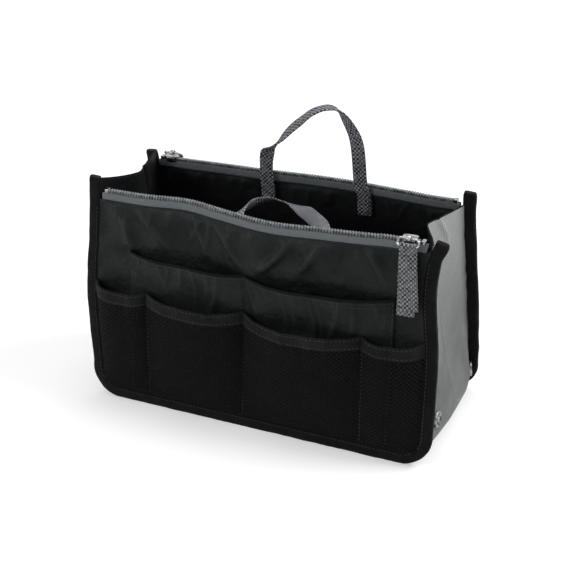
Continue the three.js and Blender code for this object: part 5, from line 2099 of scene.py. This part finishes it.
def turned(name, profile, centre, axis, materials):
    """Solid turned about an axis from a profile of (radius, reach) that starts and ends on the axis."""
    profile = np.array(profile, float) * MM
    axis = np.asarray(axis, float)
    side_way = unit(np.cross((0, 0, 1), axis))
    up_way = np.cross(axis, side_way)
    inner = profile[1:-1]
    angles = shares(SNAP_STEPS + 1, 0, 2 * math.pi)[:-1]
    spokes = np.cos(angles)[:, None] * side_way + np.sin(angles)[:, None] * up_way
    rings = inner[:, None, 1:] * axis + inner[:, None, :1] * spokes[None]
    count = len(inner)
    points = np.concatenate([rings.reshape(-1, 3), profile[[0, -1], 1:] * axis]) + np.asarray(centre)
    first, last = count * SNAP_STEPS, count * SNAP_STEPS + 1
    faces = []
    for j in range(SNAP_STEPS):
        k = (j + 1) % SNAP_STEPS
        faces.append((first, k, j))
        for i in range(count - 1):
            low, high = i * SNAP_STEPS, (i + 1) * SNAP_STEPS
            faces.append((low + j, low + k, high + k, high + j))
        base = (count - 1) * SNAP_STEPS
        faces.append((last, base + j, base + k))
    corner_uvs = [tuple(points[k][1:]) for face in faces for k in face]
    if signed_volume(points, faces) < 0:
        faces, corner_uvs = turned_over(faces, corner_uvs)
    return make_mesh(name, points, faces, corner_uvs, materials)


# Profiles in mm, as (radius, reach)
RIM = [
    (4.2, 1.05), (4.5, 1.35), (4.8, 1.85), (5.2, 2.1), (5.65, 2.05),
    (6.0, 1.75), (6.22, 1.2), (6.25, 0.6), (6.1, 0.15), (5.7, 0.0),
]
STUD = [
    (0.0, 2.55), (1.0, 2.5), (1.6, 2.3), (1.95, 1.9), (1.9, 1.5),
    (1.6, 1.2), (1.75, 0.95), (2.2, 0.85), (3.4, 0.85),
]
SOCKET = [
    (0.0, 0.5), (1.7, 0.5), (2.05, 0.7), (2.15, 1.3), (2.45, 1.65),
    (2.9, 1.65), (3.2, 1.35), (3.35, 0.95), (3.7, 0.9),
]
CAP = [(0.0, 1.25), (1.6, 1.2), (3.0, 1.0), (4.0, 0.65), (4.45, 0.3), (4.5, 0.0), (4.1, -0.3), (0.0, -0.3)]
print("profile points of a stud:", len(STUD + RIM), "and of a socket:", len(SOCKET + RIM))

# %% Snaps and caps
snap_low, snap_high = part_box("right_front_snap_stud")
# How far slack cloth carries a snap from its place on the taut leaf: away from the middle crease, and up
SNAP_SHIFTS = {"front": (-7.5 * MM, -6 * MM), "back": (7.0 * MM, -6 * MM)}
SNAP_REACH = 4 * MM
SNAP_SINK = 0.2 * MM


def snap_seat(end, side):
    """Place on the cloth of an end where its snap sits, and the cloth's outward direction there."""
    points = end_points(end, side)
    aside, up = SNAP_SHIFTS[side]
    across = -(snap_low.y + snap_high.y) / 2 + aside
    target = np.array([OUTWARD_Y[side] * across, (snap_low.z + snap_high.z) / 2 + up])
    near = points[np.linalg.norm(points[:, :, 1:] - target, axis=2) < SNAP_REACH]
    middle = near.mean(axis=0)
    _, _, axes = np.linalg.svd(near - middle)
    outward = axes[2] * math.copysign(1, axes[2][0] * middle[0])
    return middle, outward


for end in ENDS:
    for side, kind, middle in (("front", "stud", STUD), ("back", "socket", SOCKET)):
        seat, outward = snap_seat(end, side)
        outer = turned(
            f"{end}_{side}_{kind}_disc", middle + RIM + [(0.0, 0.0)],
            seat + (CLOTH_THICKNESS / 2 - SNAP_SINK) * outward, outward, [WORN_NICKEL],
        )
        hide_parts(f"{end}_{side}_snap_{kind}")
        cap_seat = seat - CLOTH_THICKNESS / 2 * outward
        cap = turned(f"{end}_{side}_inner_cap", CAP, cap_seat, -outward, [WORN_NICKEL])
        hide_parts(f"{end}_{side}_snap_cap")
        for piece in (outer, cap):
            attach(piece, f"{side}_side")
print("snaps made")

# %% [markdown]
# ## Floor, background and light
#
# The insert stands on a plain white floor that only keeps its soft shadow. A wide light from the upper right
# brightens the twill end, a weaker one from the left keeps the black nylon readable, and one from above
# softens the shadow. The white background belongs to the camera's own rays, to mirrored ones and to those
# through glass. The floor glows more with distance, so that it meets the background without an edge.

# %% White background
SKY_STRENGTH = 0.33
BACKGROUND_STRENGTH = 1.0


def camera_share(tree):
    """1 for the rays that show the background: seen directly, mirrored or through glass."""
    path = tree.nodes.new("ShaderNodeLightPath")
    seen = math_node(tree, "MAXIMUM", path.outputs["Is Camera Ray"], path.outputs["Is Glossy Ray"])
    return math_node(tree, "MAXIMUM", seen, path.outputs["Is Transmission Ray"])


def white_light(tree, strength):
    """Background node of plain white at a strength."""
    node = tree.nodes.new("ShaderNodeBackground")
    node.inputs["Color"].default_value = (1, 1, 1, 1)
    node.inputs["Strength"].default_value = strength
    return node


world = bpy.data.worlds.new("studio")
world.use_nodes = True
bpy.context.scene.world = world
tree = world.node_tree
tree.nodes.clear()
soft = white_light(tree, SKY_STRENGTH)
white = white_light(tree, BACKGROUND_STRENGTH)
mix = tree.nodes.new("ShaderNodeMixShader")
tree.links.new(camera_share(tree), mix.inputs[0])
tree.links.new(soft.outputs[0], mix.inputs[1])
tree.links.new(white.outputs[0], mix.inputs[2])
tree.links.new(mix.outputs[0], tree.nodes.new("ShaderNodeOutputWorld").inputs["Surface"])
print("sky lights at", SKY_STRENGTH, "and shows at", BACKGROUND_STRENGTH)

# %% Floor
FLOOR_HALF_WIDTH = 12
FLOOR_GLOW = 0.37
FAR_GLOW = 0.75
GLOW_START = 0.45
GLOW_END = 2.0
floor_material = bpy.data.materials.new("plain_floor")
floor_material.use_nodes = True
tree = floor_material.node_tree
shader = tree.nodes["Principled BSDF"]
shader.inputs["Base Color"].default_value = (0.8, 0.8, 0.8, 1)
shader.inputs["Roughness"].default_value = 0.9
shader.inputs["Specular IOR Level"].default_value = 0.0
shader.inputs["Emission Color"].default_value = (1, 1, 1, 1)
place = tree.nodes.new("ShaderNodeTexCoord")
distance = tree.nodes.new("ShaderNodeVectorMath")
distance.operation = "LENGTH"
tree.links.new(place.outputs["Object"], distance.inputs[0])
glow = range_node(tree, distance.outputs["Value"], GLOW_START, GLOW_END, FLOOR_GLOW, FAR_GLOW)
tree.links.new(math_node(tree, "MULTIPLY", camera_share(tree), glow), shader.inputs["Emission Strength"])
floor_mesh = bpy.data.meshes.new("floor")
floor_signs = ((-1, -1), (1, -1), (1, 1), (-1, 1))
floor_corners = [(a * FLOOR_HALF_WIDTH, b * FLOOR_HALF_WIDTH, 0) for a, b in floor_signs]
floor_mesh.from_pydata(floor_corners, [], [(0, 1, 2, 3)])
floor_mesh.materials.append(floor_material)
floor = bpy.data.objects.new("floor", floor_mesh)
bpy.context.scene.collection.objects.link(floor)
print("floor is", 2 * FLOOR_HALF_WIDTH, "m wide")

# %% Lights
def soft_light(name, place, aim, width, power):
    """Square area light that points at a place."""
    lamp = bpy.data.lights.new(name, "AREA")
    lamp.shape = "SQUARE"
    lamp.size = width
    lamp.energy = power
    light = bpy.data.objects.new(name, lamp)
    bpy.context.scene.collection.objects.link(light)
    direction = Vector(aim) - Vector(place)
    light.rotation_euler = direction.to_track_quat("-Z", "Y").to_euler()
    light.location = place
    return light


soft_light("key", (1.2, 0.45, 1.35), (0, 0, 0.08), 0.8, 19.0)
soft_light("fill", (-1.3, -1.2, 0.85), (0, 0, 0.08), 0.6, 11.0)
soft_light("top", (-0.1, 0.3, 1.6), (0, 0, 0.05), 1.1, 9.0)
print("three soft lights placed")

# %% [markdown]
# ## Scene update
#
# The scene is brought up to date.

# %% Update
bpy.context.view_layer.update()
